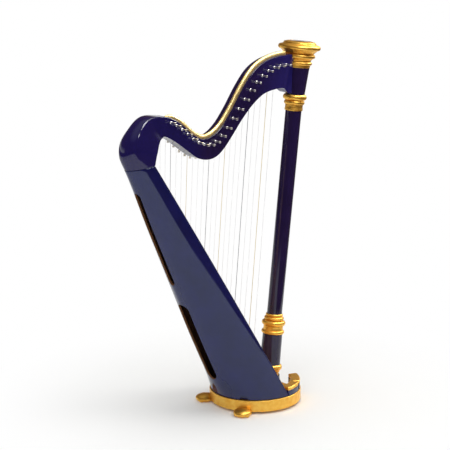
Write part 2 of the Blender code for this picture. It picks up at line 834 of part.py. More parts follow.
def build_bead():
    """Twin bead along the top of the neck, up to the crown."""
    half = bead_width / 2
    profile = [(-half, 0), (half, 0), (half, 0.5), (half * 0.74, 1), (half * 0.26, 1), (0, 0.4),
               (-half * 0.26, 1), (-half * 0.74, 1), (-half, 0.5)]
    line = neck_edge(neck_top_line)
    sections = []
    for before, point, after in zip([line[0]] + line, line, line[1:] + [line[-1]]):
        slope = (after - before).normalized()
        normal = Vector((-slope.y, 0, slope.x))
        place = Vector((point.x, 0, point.y)) + normal * seat
        sections.append([place + Vector((0, y, 0)) + normal * (h * bead_height) for y, h in profile])
    add_piece("neck_bead", cut(loft(sections), [cope_cutter()]), gilding)


build_neck()
build_bead()


# Tuning pins: round through the neck, with a collar and a square for the key on the right side

def build_pins():
    top = string_side + string_stand_off + pin_beyond_string
    collar_high = -string_side - running
    collar_low = collar_high - pin_collar_thickness
    end = -string_side - pin_key_end
    shaft_low = end + pin_square_length
    shaft = turned([(0, top), (pin_radius, top), (pin_radius, collar_high), (pin_collar_radius, collar_high),
                    (pin_collar_radius, collar_low), (pin_radius, collar_low), (pin_radius, shaft_low),
                    (0, shaft_low)], pin_sides)
    square_length = shaft_low + root_depth - end
    square = box((pin_square, pin_square, square_length), (0, 0, end + square_length / 2))
    mesh = cut(shaft, [square], "UNION")
    mesh.transform(Matrix.Rotation(-math.pi / 2, 4, "X"))
    for number, facts in enumerate(all_strings, 1):
        add_piece(f"tuning_pin_{number:02d}", mesh, nickel, Matrix.Translation(facts["pin"]))


# Levers: at rest the handle hangs along the string; a quarter turn brings the nose to the string

def build_levers():
    hub = lever_hub_radius
    nose = lever_above_string - string_radius_bass - nose_clearance
    slant = hub / math.sqrt(2)
    neck_y = lever_handle_thickness / 2
    tip_y = lever_handle_bend
    outline = [(-nose_half_width, nose - 0.0001), (-nose_half_width * 2, nose * 0.83), (-slant, slant), (-hub, 0),
               (-slant, -slant), (-neck_y, -hub * 1.15), (tip_y - neck_y, -lever_reach + neck_y),
               (tip_y, -lever_reach), (tip_y + neck_y, -lever_reach + neck_y), (neck_y + 0.0003, -hub * 1.1),
               (slant, -slant), (hub, 0), (slant, slant), (nose_half_width * 2, nose * 0.83),
               (nose_half_width, nose - 0.0001)]
    bore = (lever_axle_radius + running) / math.cos(math.pi / lever_axle_sides)
    hole = arc(bore, 0, 2 * math.pi, lever_axle_sides)[:-1]
    mesh = plate(outline, -lever_width / 2 - lever_offset, lever_width / 2 - lever_offset, [hole])
    mesh.transform(Matrix(((0, 0, 1, 0), (1, 0, 0, 0), (0, 1, 0, 0), (0, 0, 0, 1))))
    for number, facts in enumerate(all_strings, 1):
        add_piece(f"lever_{number:02d}", mesh, lever_plastic, lever_frame(facts))


build_pins()
build_levers()


# The origin goes under the middle of the whole harp, on the floor

def stand_on_origin():
    bpy.context.view_layer.update()
    corners = [piece.matrix_world @ vertex.co for piece in harp.objects for vertex in piece.data.vertices]
    middle = (min(corner.x for corner in corners) + max(corner.x for corner in corners)) / 2
    for piece in harp.objects:
        piece.location.x -= middle


stand_on_origin()
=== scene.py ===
import math
from functools import partial

import bpy
from mathutils import Matrix, Vector


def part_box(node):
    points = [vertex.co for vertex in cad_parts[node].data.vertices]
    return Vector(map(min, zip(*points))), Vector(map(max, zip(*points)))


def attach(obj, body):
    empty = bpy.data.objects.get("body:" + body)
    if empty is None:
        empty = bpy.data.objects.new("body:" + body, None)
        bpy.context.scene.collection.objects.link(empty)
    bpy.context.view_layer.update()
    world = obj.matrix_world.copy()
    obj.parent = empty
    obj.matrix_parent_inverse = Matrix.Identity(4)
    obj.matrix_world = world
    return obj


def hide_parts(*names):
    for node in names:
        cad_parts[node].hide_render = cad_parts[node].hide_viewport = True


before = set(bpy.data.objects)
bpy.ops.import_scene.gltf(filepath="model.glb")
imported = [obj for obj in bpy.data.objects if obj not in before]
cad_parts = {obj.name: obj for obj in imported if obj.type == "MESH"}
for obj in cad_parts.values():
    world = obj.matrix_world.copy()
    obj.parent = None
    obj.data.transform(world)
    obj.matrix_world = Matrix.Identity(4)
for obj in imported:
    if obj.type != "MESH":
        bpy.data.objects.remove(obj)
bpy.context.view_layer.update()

frameBody = "harp_frame"

# Sizes that several pieces share, in metres. The base's middle is the origin of all of them.
base = {"radius": 0.103, "low": 0.006, "height": 0.025, "seat": 0.0003}
board = {"footX": 0.0155, "lean": math.radians(30), "thickness": 0.003, "soft": 0.0008, "rows": 80,
         "across": 8, "facing": 0.99}
neckHalf = 0.0168
weld = 0.000002  # points closer than this become one
stringLean = math.radians(6.8)
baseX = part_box("base_plinth")[0][0] + base["radius"]
plinthHigh = base["low"] + base["height"]


# Small helpers for work in object and edit mode

def editOnly(obj):
    if bpy.context.mode != "OBJECT":
        bpy.ops.object.mode_set(mode="OBJECT")
    bpy.ops.object.select_all(action="DESELECT")
    obj.select_set(True)
    bpy.context.view_layer.objects.active = obj
    bpy.ops.object.mode_set(mode="EDIT")
    bpy.ops.mesh.select_all(action="SELECT")


def leaveEdit():
    bpy.ops.object.mode_set(mode="OBJECT")


def selectOnly(obj):
    clearSelection()
    obj.select_set(True)
    bpy.context.view_layer.objects.active = obj


def newPiece(name):  # names the active object and its mesh
    obj = bpy.context.active_object
    obj.name = name
    obj.data.name = name
    return obj


def clearSelection():
    if bpy.context.mode != "OBJECT":
        bpy.ops.object.mode_set(mode="OBJECT")
    bpy.ops.object.select_all(action="DESELECT")


def primitive(name, kind, **settings):  # one of Blender's own meshes, with its size and place in the mesh
    clearSelection()
    getattr(bpy.ops.mesh, f"primitive_{kind}_add")(**settings)
    bpy.ops.object.transform_apply()
    return newPiece(name)


def cleanMesh(obj, distance=weld):
    editOnly(obj)
    bpy.ops.mesh.remove_doubles(threshold=distance)
    bpy.ops.mesh.normals_make_consistent(inside=False)
    leaveEdit()


def applyModifier(obj, kind, **settings):
    modifier = obj.modifiers.new(kind.lower(), kind)
    for name, value in settings.items():
        setattr(modifier, name, value)
    selectOnly(obj)
    bpy.ops.object.modifier_apply(modifier=modifier.name)


def cutWith(obj, cutter):
    applyModifier(obj, "BOOLEAN", operation="DIFFERENCE", solver="EXACT", material_mode="TRANSFER", object=cutter)
    bpy.data.objects.remove(cutter, do_unlink=True)


def joinAll(name, objs):
    clearSelection()
    for obj in objs:
        obj.select_set(True)
    bpy.context.view_layer.objects.active = objs[0]
    bpy.ops.object.join()
    return newPiece(name)


def copyOf(obj, name, place):
    made = obj.copy()
    made.data = obj.data.copy()
    made.name = made.data.name = name
    made.data.transform(place)
    bpy.context.scene.collection.objects.link(made)
    return made


def smoothPiece(obj, angle=35):
    selectOnly(obj)
    bpy.ops.object.shade_smooth_by_angle(angle=math.radians(angle))


def softEdges(obj, width, segments=3, angle=40):  # rounds what is sharp, then evens the shading
    applyModifier(obj, "BEVEL", width=width, segments=segments, limit_method="ANGLE",
                  angle_limit=math.radians(angle), harden_normals=False, use_clamp_overlap=True)
    smoothPiece(obj, 50)
    applyModifier(obj, "WEIGHTED_NORMAL", keep_sharp=True)


def finish(obj, material, nodes=(), body=frameBody):
    if material:
        obj.data.materials.clear()
        obj.data.materials.append(material)
    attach(obj, body)
    if nodes:
        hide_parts(*nodes)
    return obj


# Lines and sections that the wooden parts follow

def smoothValue(values, place):
    last = len(values) - 1
    k = min(int(place), last - 1)
    t = place - k
    before, start, end, after = values[max(k - 1, 0)], values[k], values[k + 1], values[min(k + 2, last)]
    return 0.5 * (2 * start + (end - before) * t + (2 * before - 5 * start + 4 * end - after) * t ** 2
                  + (3 * start - before - 3 * end + after) * t ** 3)


def flowing(points, count):
    vectors = [Vector(point) for point in points]
    return [smoothValue(vectors, i * (len(points) - 1) / (count - 1)) for i in range(count)]


def heightOn(line, x):
    points = flowing(line, 240)
    for left, right in zip(points, points[1:]):
        if x <= right[0]:
            return left[1] + (right[1] - left[1]) * (x - left[0]) / (right[0] - left[0])
    return points[-1][1]


def halfOval(halfWidth, depth, roundness, count):
    points = []
    for i in range(count + 1):
        angle = math.pi * i / count
        side = math.copysign(abs(math.cos(angle)) ** (2 / roundness), math.cos(angle))
        points.append((halfWidth * side, depth * math.sin(angle) ** (2 / roundness)))
    return points


def arc(radius, start, end, steps, centre=(0, 0)):
    angles = [start + (end - start) * i / steps for i in range(steps + 1)]
    return [(centre[0] + radius * math.cos(a), centre[1] + radius * math.sin(a)) for a in angles]


def skin(name, rows, shut=True):  # a grid that is bent onto rows of points
    across, along = len(rows[0]), len(rows)
    obj = primitive(name, "grid", x_subdivisions=across - 1, y_subdivisions=along - 1, size=1)
    for vertex, point in zip(obj.data.vertices, [point for row in rows for point in row]):
        vertex.co = point
    if shut:  # the two long sides meet, and both ends are filled
        editOnly(obj)
        bpy.ops.mesh.remove_doubles(threshold=weld)
        bpy.ops.mesh.select_all(action="DESELECT")
        bpy.ops.mesh.select_mode(type="EDGE")
        bpy.ops.mesh.select_non_manifold()
        bpy.ops.mesh.fill_holes(sides=0)
        bpy.ops.mesh.select_mode(type="VERT")
        leaveEdit()
        cleanMesh(obj)
    return obj


def turned(name, profile, steps=96):  # one point, extruded along its profile and spun
    obj = primitive(name, "plane", size=0.001, location=(profile[0][0], 0, profile[0][1]))
    editOnly(obj)
    bpy.ops.mesh.merge(type="CENTER")
    for before, after in zip(profile, profile[1:]):
        bpy.ops.mesh.extrude_vertices_move(
            TRANSFORM_OT_translate={"value": (after[0] - before[0], 0, after[1] - before[1])})
    bpy.ops.mesh.select_all(action="SELECT")
    bpy.ops.mesh.spin(steps=steps, angle=2 * math.pi, center=(0, 0, 0), axis=(0, 0, 1))
    leaveEdit()
    cleanMesh(obj, 2 * weld)
    return obj


def plate(name, outline, low, high):  # a circle of points, pulled onto an outline and extruded
    obj = primitive(name, "circle", vertices=len(outline), radius=0.1, fill_type="NGON")
    for vertex, (x, y) in zip(obj.data.vertices, outline):
        vertex.co = (x, y, low)
    editOnly(obj)
    bpy.ops.mesh.extrude_region_move(TRANSFORM_OT_translate={"value": (0, 0, high - low)})
    leaveEdit()
    cleanMesh(obj)
    return obj


def block(name, size, centre, soft):  # with softened edges
    obj = primitive(name, "cube", size=1, scale=size, location=centre)
    softEdges(obj, soft)
    return obj


def placed(obj, matrix=None):  # from the base's own middle into the harp's place
    if matrix:
        obj.data.transform(matrix)
    obj.data.transform(Matrix.Translation((baseX, 0, 0)))
    return obj


# Materials. Each one is named for what the real one is and how it was made, and for any light that is painted into its
# colour.

def hexColour(code):
    values = [int(code[i:i + 2], 16) / 255 for i in (1, 3, 5)]
    return [v / 12.92 if v <= 0.04045 else ((v + 0.055) / 1.055) ** 2.4 for v in values] + [1]


def setInputs(node, inputs):  # a node given as a value stands for its first output
    for key, value in inputs.items():
        if isinstance(value, bpy.types.Node):
            value = value.outputs[0]
        if isinstance(value, bpy.types.NodeSocket):
            node.id_data.links.new(value, node.inputs[key])
        else:
            node.inputs[key].default_value = value


def addNode(tree, kind, inputs=None, stops=(), **settings):
    node = tree.nodes.new("ShaderNode" + kind)
    for name, value in settings.items():
        setattr(node, name, value)
    for number, (place, code) in enumerate(stops):  # a colour ramp's places and colours
        node.color_ramp.elements[number].position = place
        node.color_ramp.elements[number].color = hexColour(code)
    setInputs(node, inputs or {})
    return node


def newMaterial(name, **sockets):
    material = bpy.data.materials.new(name)
    material.use_nodes = True
    add = partial(addNode, material.node_tree)
    shader = material.node_tree.nodes["Principled BSDF"]
    setInputs(shader, {key.replace("_", " "): value for key, value in sockets.items()})
    return material, add, shader, add("TexCoord").outputs["Object"]


def polishedLacquer(name, deep, rich, paintedReflectionTones=(), gloss=1.5, tint=(1, 1, 1, 1)):
    # Polished polyurethane lacquer over stained wood: wet looking, with cloudy stain and a faint orange peel
    material, add, shader, place = newMaterial(name, IOR=gloss, Specular_Tint=tint)
    cloud = add("TexNoise", {"Vector": place, "Scale": 22, "Detail": 3})
    colour = add("ValToRGB", {"Fac": cloud}, ((0.3, deep), (0.75, rich)))
    for code, start, end in paintedReflectionTones:  # past a place along the harp the colour is painted to another tone, a painted reflection of the bluer light seen there
        along = add("SeparateXYZ", {"Vector": place}).outputs["X"]
        share = add("MapRange", {"Value": along, "From Min": min(start, end), "From Max": max(start, end),
                                 "To Min": float(start > end), "To Max": float(start < end)})
        colour = add("MixRGB", {"Fac": share, "Color1": colour, "Color2": hexColour(code)})
    polish = add("MapRange", {"Value": cloud, "To Min": 0.035, "To Max": 0.075})
    peel = add("TexNoise", {"Vector": place, "Scale": 260, "Detail": 1})
    bump = add("Bump", {"Height": peel, "Strength": 0.02, "Distance": 0.001})
    setInputs(shader, {"Base Color": colour, "Roughness": polish, "Normal": bump})
    return material


def gildedWood(name, dark, light):
    # Gold leaf on turned and carved wood: satin metal, a little darker and duller in patches of leaf size
    material, add, shader, place = newMaterial(name, Metallic=1.0)
    leaf = add("TexNoise", {"Vector": place, "Scale": 90, "Detail": 4})
    ramp = add("ValToRGB", {"Fac": leaf}, ((0.3, dark), (0.7, light)))
    dull = add("MapRange", {"Value": leaf, "From Min": 0.3, "From Max": 0.7, "To Min": 0.46, "To Max": 0.37})
    grain = add("TexNoise", {"Vector": place, "Scale": 700, "Detail": 2})
    bump = add("Bump", {"Height": grain, "Strength": 0.06, "Distance": 0.0005})
    setInputs(shader, {"Base Color": ramp, "Roughness": dull, "Normal": bump})
    return material


def varnishedSpruce():
    # Varnished spruce of the soundboard's front: honey coloured, with straight dark year lines. The real ones
    # are 2 mm apart, too fine to show, so they are drawn 5 mm apart.
    material, add, shader, place = newMaterial("varnishedSpruce", Roughness=0.3)
    lean = add("Mapping", {"Vector": place, "Scale": (6, 1, 6)})
    waver = add("TexNoise", {"Vector": lean, "Scale": 0.6, "Detail": 1})
    shift = add("Math", {0: waver, 1: 9.0}, operation="MULTIPLY")
    lines = add("TexWave", {"Vector": place, "Scale": 63, "Distortion": 0.0, "Phase Offset": shift},
                wave_type="BANDS", bands_direction="Y", wave_profile="SAW")
    ramp = add("ValToRGB", {"Fac": lines.outputs["Fac"]}, ((0.35, "#d9a866"), (0.95, "#b57f43")))
    bump = add("Bump", {"Height": lines.outputs["Fac"], "Strength": 0.05, "Distance": 0.0002})
    setInputs(shader, {"Base Color": ramp, "Normal": bump})
    return material


def paleRib():
    # Planed and oiled maple of the rib: pale, with fine grain lines about 1.5 mm apart along it
    material, add, shader, place = newMaterial("oiledMapleRib", Roughness=0.42)
    stretched = add("Mapping", {"Vector": place, "Scale": (650, 650, 25)})
    grain = add("TexNoise", {"Vector": stretched, "Scale": 1, "Detail": 5})
    ramp = add("ValToRGB", {"Fac": grain}, ((0, "#b98d5a"), (1, "#dcb988")))
    bump = add("Bump", {"Height": grain, "Strength": 0.15, "Distance": 0.0003})
    setInputs(shader, {"Base Color": ramp, "Normal": bump})
    return material


def rawWood():
    # Unfinished plywood on the inside of the soundbox: warm brown, with grain along its length
    material, add, shader, place = newMaterial("bareWoodInside", Roughness=0.75)
    stretched = add("Mapping", {"Vector": place, "Scale": (60, 60, 5)})
    grain = add("TexNoise", {"Vector": stretched, "Scale": 6, "Detail": 5})
    ramp = add("ValToRGB", {"Fac": grain}, ((0, "#4a2c18"), (1, "#8a5c34")))
    bump = add("Bump", {"Height": grain, "Strength": 0.3, "Distance": 0.0005})
    setInputs(shader, {"Base Color": ramp, "Normal": bump})
    return material


def nickelPlate():
    # Nickel plated steel, tumbled: bright with soft highlights
    material, add, shader, place = newMaterial("nickelPlatedSteel", Metallic=1.0)
    marks = add("TexNoise", {"Vector": place, "Scale": 900, "Detail": 2})
    ramp = add("ValToRGB", {"Fac": marks}, ((0, "#e8e6e1"), (1, "#f9f8f4")))
    dull = add("MapRange", {"Value": marks, "To Min": 0.26, "To Max": 0.4})
    setInputs(shader, {"Base Color": ramp, "Roughness": dull})
    return material


def nylonString(name, code, clear):
    # Drawn nylon monofilament, a little see-through
    material, add, shader, place = newMaterial(name, Roughness=0.28, IOR=1.53, Transmission_Weight=clear)
    haze = add("TexNoise", {"Vector": place, "Scale": 400, "Detail": 2})
    darker = [v * 0.86 for v in hexColour(code)[:3]] + [1]
    shade = add("MixRGB", {"Fac": haze, "Color1": hexColour(code), "Color2": darker})
    setInputs(shader, {"Base Color": shade})
    return material


def mouldedPlastic():
    # Injection moulded ivory acetal: satin, with a very fine spark-eroded texture
    material, add, shader, place = newMaterial("ivoryMouldedAcetal", Roughness=0.38)
    fine = add("TexNoise", {"Vector": place, "Scale": 1500, "Detail": 2})
    ramp = add("ValToRGB", {"Fac": fine}, ((0, "#e9e6dc"), (1, "#f4f1e8")))
    bump = add("Bump", {"Height": fine, "Strength": 0.1, "Distance": 0.0002})
    setInputs(shader, {"Base Color": ramp, "Normal": bump})
    return material


def pressedFelt():
    # Pressed wool felt under the front of the base
    material, add, shader, place = newMaterial("pressedWoolFelt", Roughness=0.95)
    fibre = add("TexNoise", {"Vector": place, "Scale": 1200, "Detail": 5})
    ramp = add("ValToRGB", {"Fac": fibre}, ((0, "#26221f"), (1, "#4a443e")))
    bump = add("Bump", {"Height": fibre, "Strength": 0.5, "Distance": 0.0005})
    setInputs(shader, {"Base Color": ramp, "Normal": bump})
    return material


blueLacquer = polishedLacquer("polishedBlueLacquer", "#0c0f3e", "#11134b", gloss=1.6, tint=(0.8, 0.88, 1, 1))
violetLacquer = polishedLacquer("polishedVioletLacquer", "#170f30", "#1e123b")
# The neck's lacquer is painted bluer towards the shoulder and near the drum: painted reflection, standing in for the
# bluer light those parts catch
neckLacquer = polishedLacquer("polishedNeckLacquer", "#170f32", "#1e123d",
                              [("#161145", baseX - 0.15, baseX - 0.19), ("#211b58", baseX - 0.02, baseX + 0.08)])
gold = gildedWood("satinGoldLeaf", "#f0b44a", "#fbcc62")
# A paler copy of the gold leaf for the neck's bead: painted sheen, standing in for the overhead light the bead catches
sheenPaintedGold = gildedWood("goldLeafPaintedSheen", "#f8d888", "#feedb2")
bareWood = rawWood()
spruce = varnishedSpruce()
ribWood = paleRib()
nickel = nickelPlate()
clearNylon = nylonString("milkyClearNylon", "#ffffff", 0.88)
amberNylon = nylonString("paleAmberNylon", "#eddca0", 0.45)
blackNylon = nylonString("smokyBlackNylon", "#7c7c82", 0.25)
plastic = mouldedPlastic()
felt = pressedFelt()
print("materials ready")


# Column group, turned about its own leaning axis; heights run along the axis from the pedestal's top

column = {"footX": 0.0408, "lean": math.radians(6.45), "pedestalTop": 0.0503, "pedestalRadius": 0.025,
          "shaftFoot": 0.0234, "shaftLow": 0.0222, "thinLow": 0.0171, "thinHigh": 0.0179,
          "drumLow": 0.021, "drumHigh": 0.0264, "footRing": 0.026, "lowerCollar": 0.097,
          "upperCollar": 0.605, "upperCollarHeight": 0.036, "drumHeight": 0.060, "recess": 0.004,
          "taperRise": 0.02, "stepRise": 0.01, "taperSteps": 12}
columnPlace = (Matrix.Translation((column["footX"], 0, column["pedestalTop"]))
               @ Matrix.Rotation(column["lean"], 4, "Y"))
drumTop = column["upperCollar"] + column["upperCollarHeight"] + column["drumHeight"]


def halfRound(radius, low, high, bulge, steps=12):  # from the top down
    middle, half = (low + high) / 2, (high - low) / 2
    return [(radius - bulge + bulge * math.cos(a), middle + half * math.sin(a))
            for a in [math.pi / 2 - math.pi * i / steps for i in range(steps + 1)]]


def hollowCurve(start, end, sag, steps=8):  # a cove between two points
    points = []
    for i in range(1, steps):
        t = i / steps
        points.append((start[0] + (end[0] - start[0]) * t - sag * math.sin(math.pi * t),
                       start[1] + (end[1] - start[1]) * t))
    return points


def makeColumn():
    drumFoot = column["upperCollar"] + column["upperCollarHeight"] - column["recess"]
    shaft = [(0, drumTop), (column["drumHigh"], drumTop), (column["drumLow"], drumFoot),
             (column["thinHigh"], drumFoot), (column["thinHigh"], column["upperCollar"])]
    lowest, highest = column["lowerCollar"] + column["taperRise"], column["upperCollar"]
    for i in range(1, column["taperSteps"]):
        share = i / column["taperSteps"]
        shaft.append((column["thinHigh"] + (column["thinLow"] - column["thinHigh"]) * share,
                      highest + (lowest - highest) * share))
    shaft += [(column["thinLow"], lowest), (column["shaftLow"], lowest - column["stepRise"])]
    shaft += [(column["shaftFoot"], column["footRing"] - column["recess"]), (0, column["footRing"] - column["recess"])]
    obj = placed(turned("column", shaft), columnPlace)
    smoothPiece(obj, 15)
    finish(obj, violetLacquer, ["column"])


def makeGilded(name, profile, node):
    obj = placed(turned(name, profile), columnPlace)
    smoothPiece(obj, 55)
    finish(obj, gold, [node])


# Each ring is its radius, lower and upper edge, and bulge; heights are from the drum's top
crown = {"height": 0.058, "flange": (0.0472, 0.0387, 0.0500, 0.0055), "ring": (0.0366, 0.0205, 0.0300, 0.004),
         "foot": (0.031, 0.0055, 0.0135, 0.0035), "sags": (0.0016, 0.0006, 0.0010, 0.0002),
         "plate": 0.036, "plateEdge": ((-0.002, 0.0560), (-0.0008, 0.0555), (0, 0.0545), (0.0002, 0.0530)),
         "rimTop": ((0, -0.0004), (0.0006, 0), (0.0024, 0)), "plateRise": 0.0002, "skirt": 0.0008,
         "dish": 0.0030, "inlay": 0.0235, "inlayGap": 0.0004, "inlaySoft": 0.001, "dome": 0.0014,
         "domeSteps": 12, "inlaySeat": 0.0002}


def makeCrown():
    low = drumTop
    top = low + crown["height"]
    rim = crown["inlay"] + crown["inlayGap"]
    floor = top - crown["dish"]
    profile = [(0, floor), (rim, floor)] + [(rim + x, top + z) for x, z in crown["rimTop"]]
    edge = [(crown["plate"] + x, low + z) for x, z in crown["plateEdge"]]
    profile += hollowCurve(profile[-1], edge[0], -crown["plateRise"]) + edge
    for sag, (radius, start, end, bulge) in zip(crown["sags"], (crown["flange"], crown["ring"], crown["foot"])):
        outline = halfRound(radius, low + start, low + end, bulge)
        profile += hollowCurve(profile[-1], outline[0], sag) + outline
    skirt = (column["drumHigh"] + crown["skirt"], low + crown["skirt"])
    profile += hollowCurve(profile[-1], skirt, crown["sags"][-1])
    profile += [skirt, (column["drumHigh"] + crown["skirt"] / 2, low), (0, low)]
    makeGilded("crown", profile, "crown")
    flat, soft = crown["inlay"] - crown["inlaySoft"], crown["inlaySoft"]
    disc = [(0, top - crown["inlayGap"] + crown["dome"])]
    for i in range(1, crown["domeSteps"]):
        share = i / crown["domeSteps"]
        disc.append((flat * share, top - crown["inlayGap"] + crown["dome"] * (1 - share ** 2)))
    disc += arc(soft, math.pi / 2, 0, 6, (flat, top - crown["inlayGap"] - soft))
    seat = floor + crown["inlaySeat"]
    disc += [(crown["inlay"], seat), (0, seat)]
    inlay = placed(turned("crownInlay", disc), columnPlace)
    smoothPiece(inlay, 40)
    finish(inlay, violetLacquer, ["crown_inlay"])


# Collars: rings stand out from the shaft by their first value; below them a cove, then the foot
collars = {"upperCollar": {"node": "upper_collar", "shaft": "thinHigh", "high": column["upperCollarHeight"],
                           "rings": ((0.0085, 0.0235, 0.036, 0.005), (0.005, 0.0135, 0.0225, 0.003)),
                           "cove": ((0.002, 0.012), (0.0025, 0.003)), "foot": ((0.0025, 0.003), (0.0017, 0)),
                           "footRings": ()},
           "lowerCollar": {"node": "lower_collar", "shaft": "thinLow", "high": 0.046,
                           "rings": ((0.0025, 0.040, 0.046, 0.002), (0.0053, 0.032, 0.039, 0.003),
                                     (0.0098, 0.0195, 0.0305, 0.005)),
                           "cove": ((0.0055, 0.0185), (0.0055, 0.0095)), "foot": (),
                           "footRings": ((0.0088, 0, 0.0085, 0.0035),)}}
collarBore = 0.001  # how far a collar reaches into the shaft
coveSag = 0.0006


def collarRings(rings, radius, low):
    outline = []
    for stand, start, end, bulge in rings:
        outline += halfRound(radius + stand, low + start, low + end, bulge)
    return outline


def makeCollars():
    for name, size in collars.items():
        low, radius = column[name], column[size["shaft"]]
        bore, top = radius - collarBore, low + size["high"]
        cove = [(radius + x, low + z) for x, z in size["cove"]]
        outline = [(bore, top)] + collarRings(size["rings"], radius, low) + hollowCurve(*cove, coveSag)
        outline += [(radius + x, low + z) for x, z in size["foot"]] + collarRings(size["footRings"], radius, low)
        makeGilded(name, outline + [(bore, low), (bore, top)], size["node"])


footRing = {"radius": 0.0282, "thick": 0.0125, "bulge": 0.005, "cove": ((0.0241, 0.0105), (0.0221, 0.0045)),
            "foot": (0.0218, -0.0012)}


def makeFootRing():
    top = column["footRing"]
    outline = halfRound(footRing["radius"], top - footRing["thick"], top, footRing["bulge"])
    outline += hollowCurve(*footRing["cove"], coveSag) + [footRing["cove"][1], footRing["foot"]]
    makeGilded("columnFootRing", [(0, top)] + outline + [(0, footRing["foot"][1])], "column_foot_ring")


makeColumn()
makeCrown()
makeCollars()
makeFootRing()
print("column group made")


# Soundbox: level sections that follow the base's circle below and tilt a little towards the top

box = {"top": 0.583, "low": plinthHigh + base["seat"], "halfHigh": 0.0355, "bow": 0.004, "inset": 0.0025,
       "depths": (0.1160, 0.1055, 0.0875, 0.0695, 0.0505), "roundLow": 2.1, "round": 1.7,
       "tilt": math.radians(11), "flare": 0.14, "wall": 0.005, "end": 0.012, "soft": 0.0009, "beyond": 0.009,
       "easing": (0.35, 0.3),
       "upperHole": (0.309, 0.523, 0.0095), "lowerHole": (0.074, 0.262, 0.017), "cutDepth": 0.055,
       "rows": 100, "hollowRows": 60, "steps": 72}
footNotch = {"radius": 0.0098, "depth": 0.009, "angle": math.radians(144.5)}
rimInset = (board["thickness"] + base["seat"]) / math.cos(board["lean"])


def boardX(z):
    return board["footX"] - (z - plinthHigh) * math.tan(board["lean"])


def boxShare(z):
    return max(0, (z - plinthHigh) / (box["top"] - plinthHigh))


def boxHalf(z):
    share = boxShare(z)
    low = math.sqrt((base["radius"] - box["inset"]) ** 2 - board["footX"] ** 2)
    return low + (box["halfHigh"] - low) * share + 4 * box["bow"] * share * (1 - share)


def boxDepth(z):
    return smoothValue(box["depths"], boxShare(z) * (len(box["depths"]) - 1))


def boxSection(z, inset, front=0):  # closed: round the back, then along the front
    share = boxShare(z)
    flare = max(0, 1 - share / box["flare"]) ** 2
    roundness = box["round"] + (box["roundLow"] - box["round"]) * flare
    tilt = box["tilt"] * share ** 2
    outline = halfOval(boxHalf(z) - inset, boxDepth(z) - inset - rimInset, roundness, box["steps"])
    start = Vector((boardX(z) - rimInset, 0, z - rimInset * math.tan(tilt)))
    back = Vector((-math.cos(tilt), 0, -math.sin(tilt)))
    points = [start + back * depth + Vector((0, y, 0)) for y, depth in outline]
    if front:
        points[0].x += front
        points[-1].x += front
    return points + [points[0]]


def boxRows(low, high, count, inset, front=0, soft=0):
    rows = [boxSection(low + (high - low) * i / count, inset, front) for i in range(count + 1)]
    if soft:  # the top edge is eased
        lower, inward = box["easing"]
        rows[-1:] = [boxSection(z, width, front) for z, width in (
            (high - soft, inset), (high - soft * lower, inset + soft * inward), (high, inset + soft))]
    return rows


def holeCutter(low, high, half):
    ends = [Vector((boardX(z) - boxDepth(z), 0, z)) for z in (low, high)]
    along = (ends[1] - ends[0]).normalized()
    straight = (ends[1] - ends[0]).length / 2 - half
    outline = arc(half, -math.pi / 2, math.pi / 2, 24, (straight, 0))
    outline += arc(half, math.pi / 2, math.pi * 1.5, 24, (-straight, 0))
    cutter = plate("holeCutter", outline, -box["cutDepth"], box["cutDepth"])
    side = Vector((0, 1, 0))
    turn = Matrix((along, side, along.cross(side))).transposed().to_4x4()
    cutter.data.transform(Matrix.Translation((ends[0] + ends[1]) / 2) @ turn)
    cutter.data.materials.append(bareWood)
    return cutter


def notchCutter(angle):
    cutter = primitive("notchCutter", "cylinder", vertices=48, radius=footNotch["radius"], depth=base["radius"])
    reach = base["radius"] - footNotch["depth"] + base["radius"] / 2
    cutter.data.transform(Matrix.Rotation(angle, 4, "Z") @ Matrix.Translation((reach, 0, box["low"]))
                          @ Matrix.Rotation(math.pi / 2, 4, "Y"))
    cutter.data.materials.append(blueLacquer)
    return cutter


def makeSoundbox():
    shell = skin("soundboxShell", boxRows(box["low"], box["top"], box["rows"], 0, 0, box["soft"]))
    shell.data.materials.append(blueLacquer)
    hollow = skin("hollow", boxRows(box["low"] + box["end"], box["top"] - box["end"], box["hollowRows"],
                                    box["wall"], box["beyond"]))
    hollow.data.materials.append(bareWood)
    cutWith(shell, hollow)
    for hole in (box["upperHole"], box["lowerHole"]):
        cutWith(shell, holeCutter(*hole))
    for angle in (-footNotch["angle"], footNotch["angle"]):
        cutWith(shell, notchCutter(angle))
    smoothPiece(shell, 40)
    placed(shell)
    finish(shell, None, ["soundbox_shell"])


def makeSoundboard():
    thickness = board["thickness"] / math.cos(board["lean"])
    rows = []
    for i in range(board["rows"] + 1):
        z = box["low"] + (box["top"] - box["low"]) * i / board["rows"]
        half = boxHalf(z)
        drop = thickness * math.tan(box["tilt"] * boxShare(z) ** 2)
        front, back = (boardX(z), z), (boardX(z) - thickness, z - drop)
        sides = [half * (1 - 2 * k / board["across"]) for k in range(board["across"] + 1)]
        row = [Vector((front[0], y, front[1])) for y in sides] + [Vector((back[0], -y, back[1])) for y in sides]
        rows.append(row + [row[0]])
    obj = skin("soundboard", rows)
    softEdges(obj, board["soft"])
    placed(obj)
    obj.data.materials.append(blueLacquer)
    obj.data.materials.append(spruce)
    for face in obj.data.polygons:  # the front stays natural wood, as the column's reflection shows
        if face.normal.dot(Vector((math.cos(board["lean"]), 0, math.sin(board["lean"])))) > board["facing"]:
            face.material_index = 1
    finish(obj, None, ["soundboard"])


makeSoundbox()
makeSoundboard()
print("soundbox made")


# Where every string runs, from the longest at the column to the shortest at the shoulder

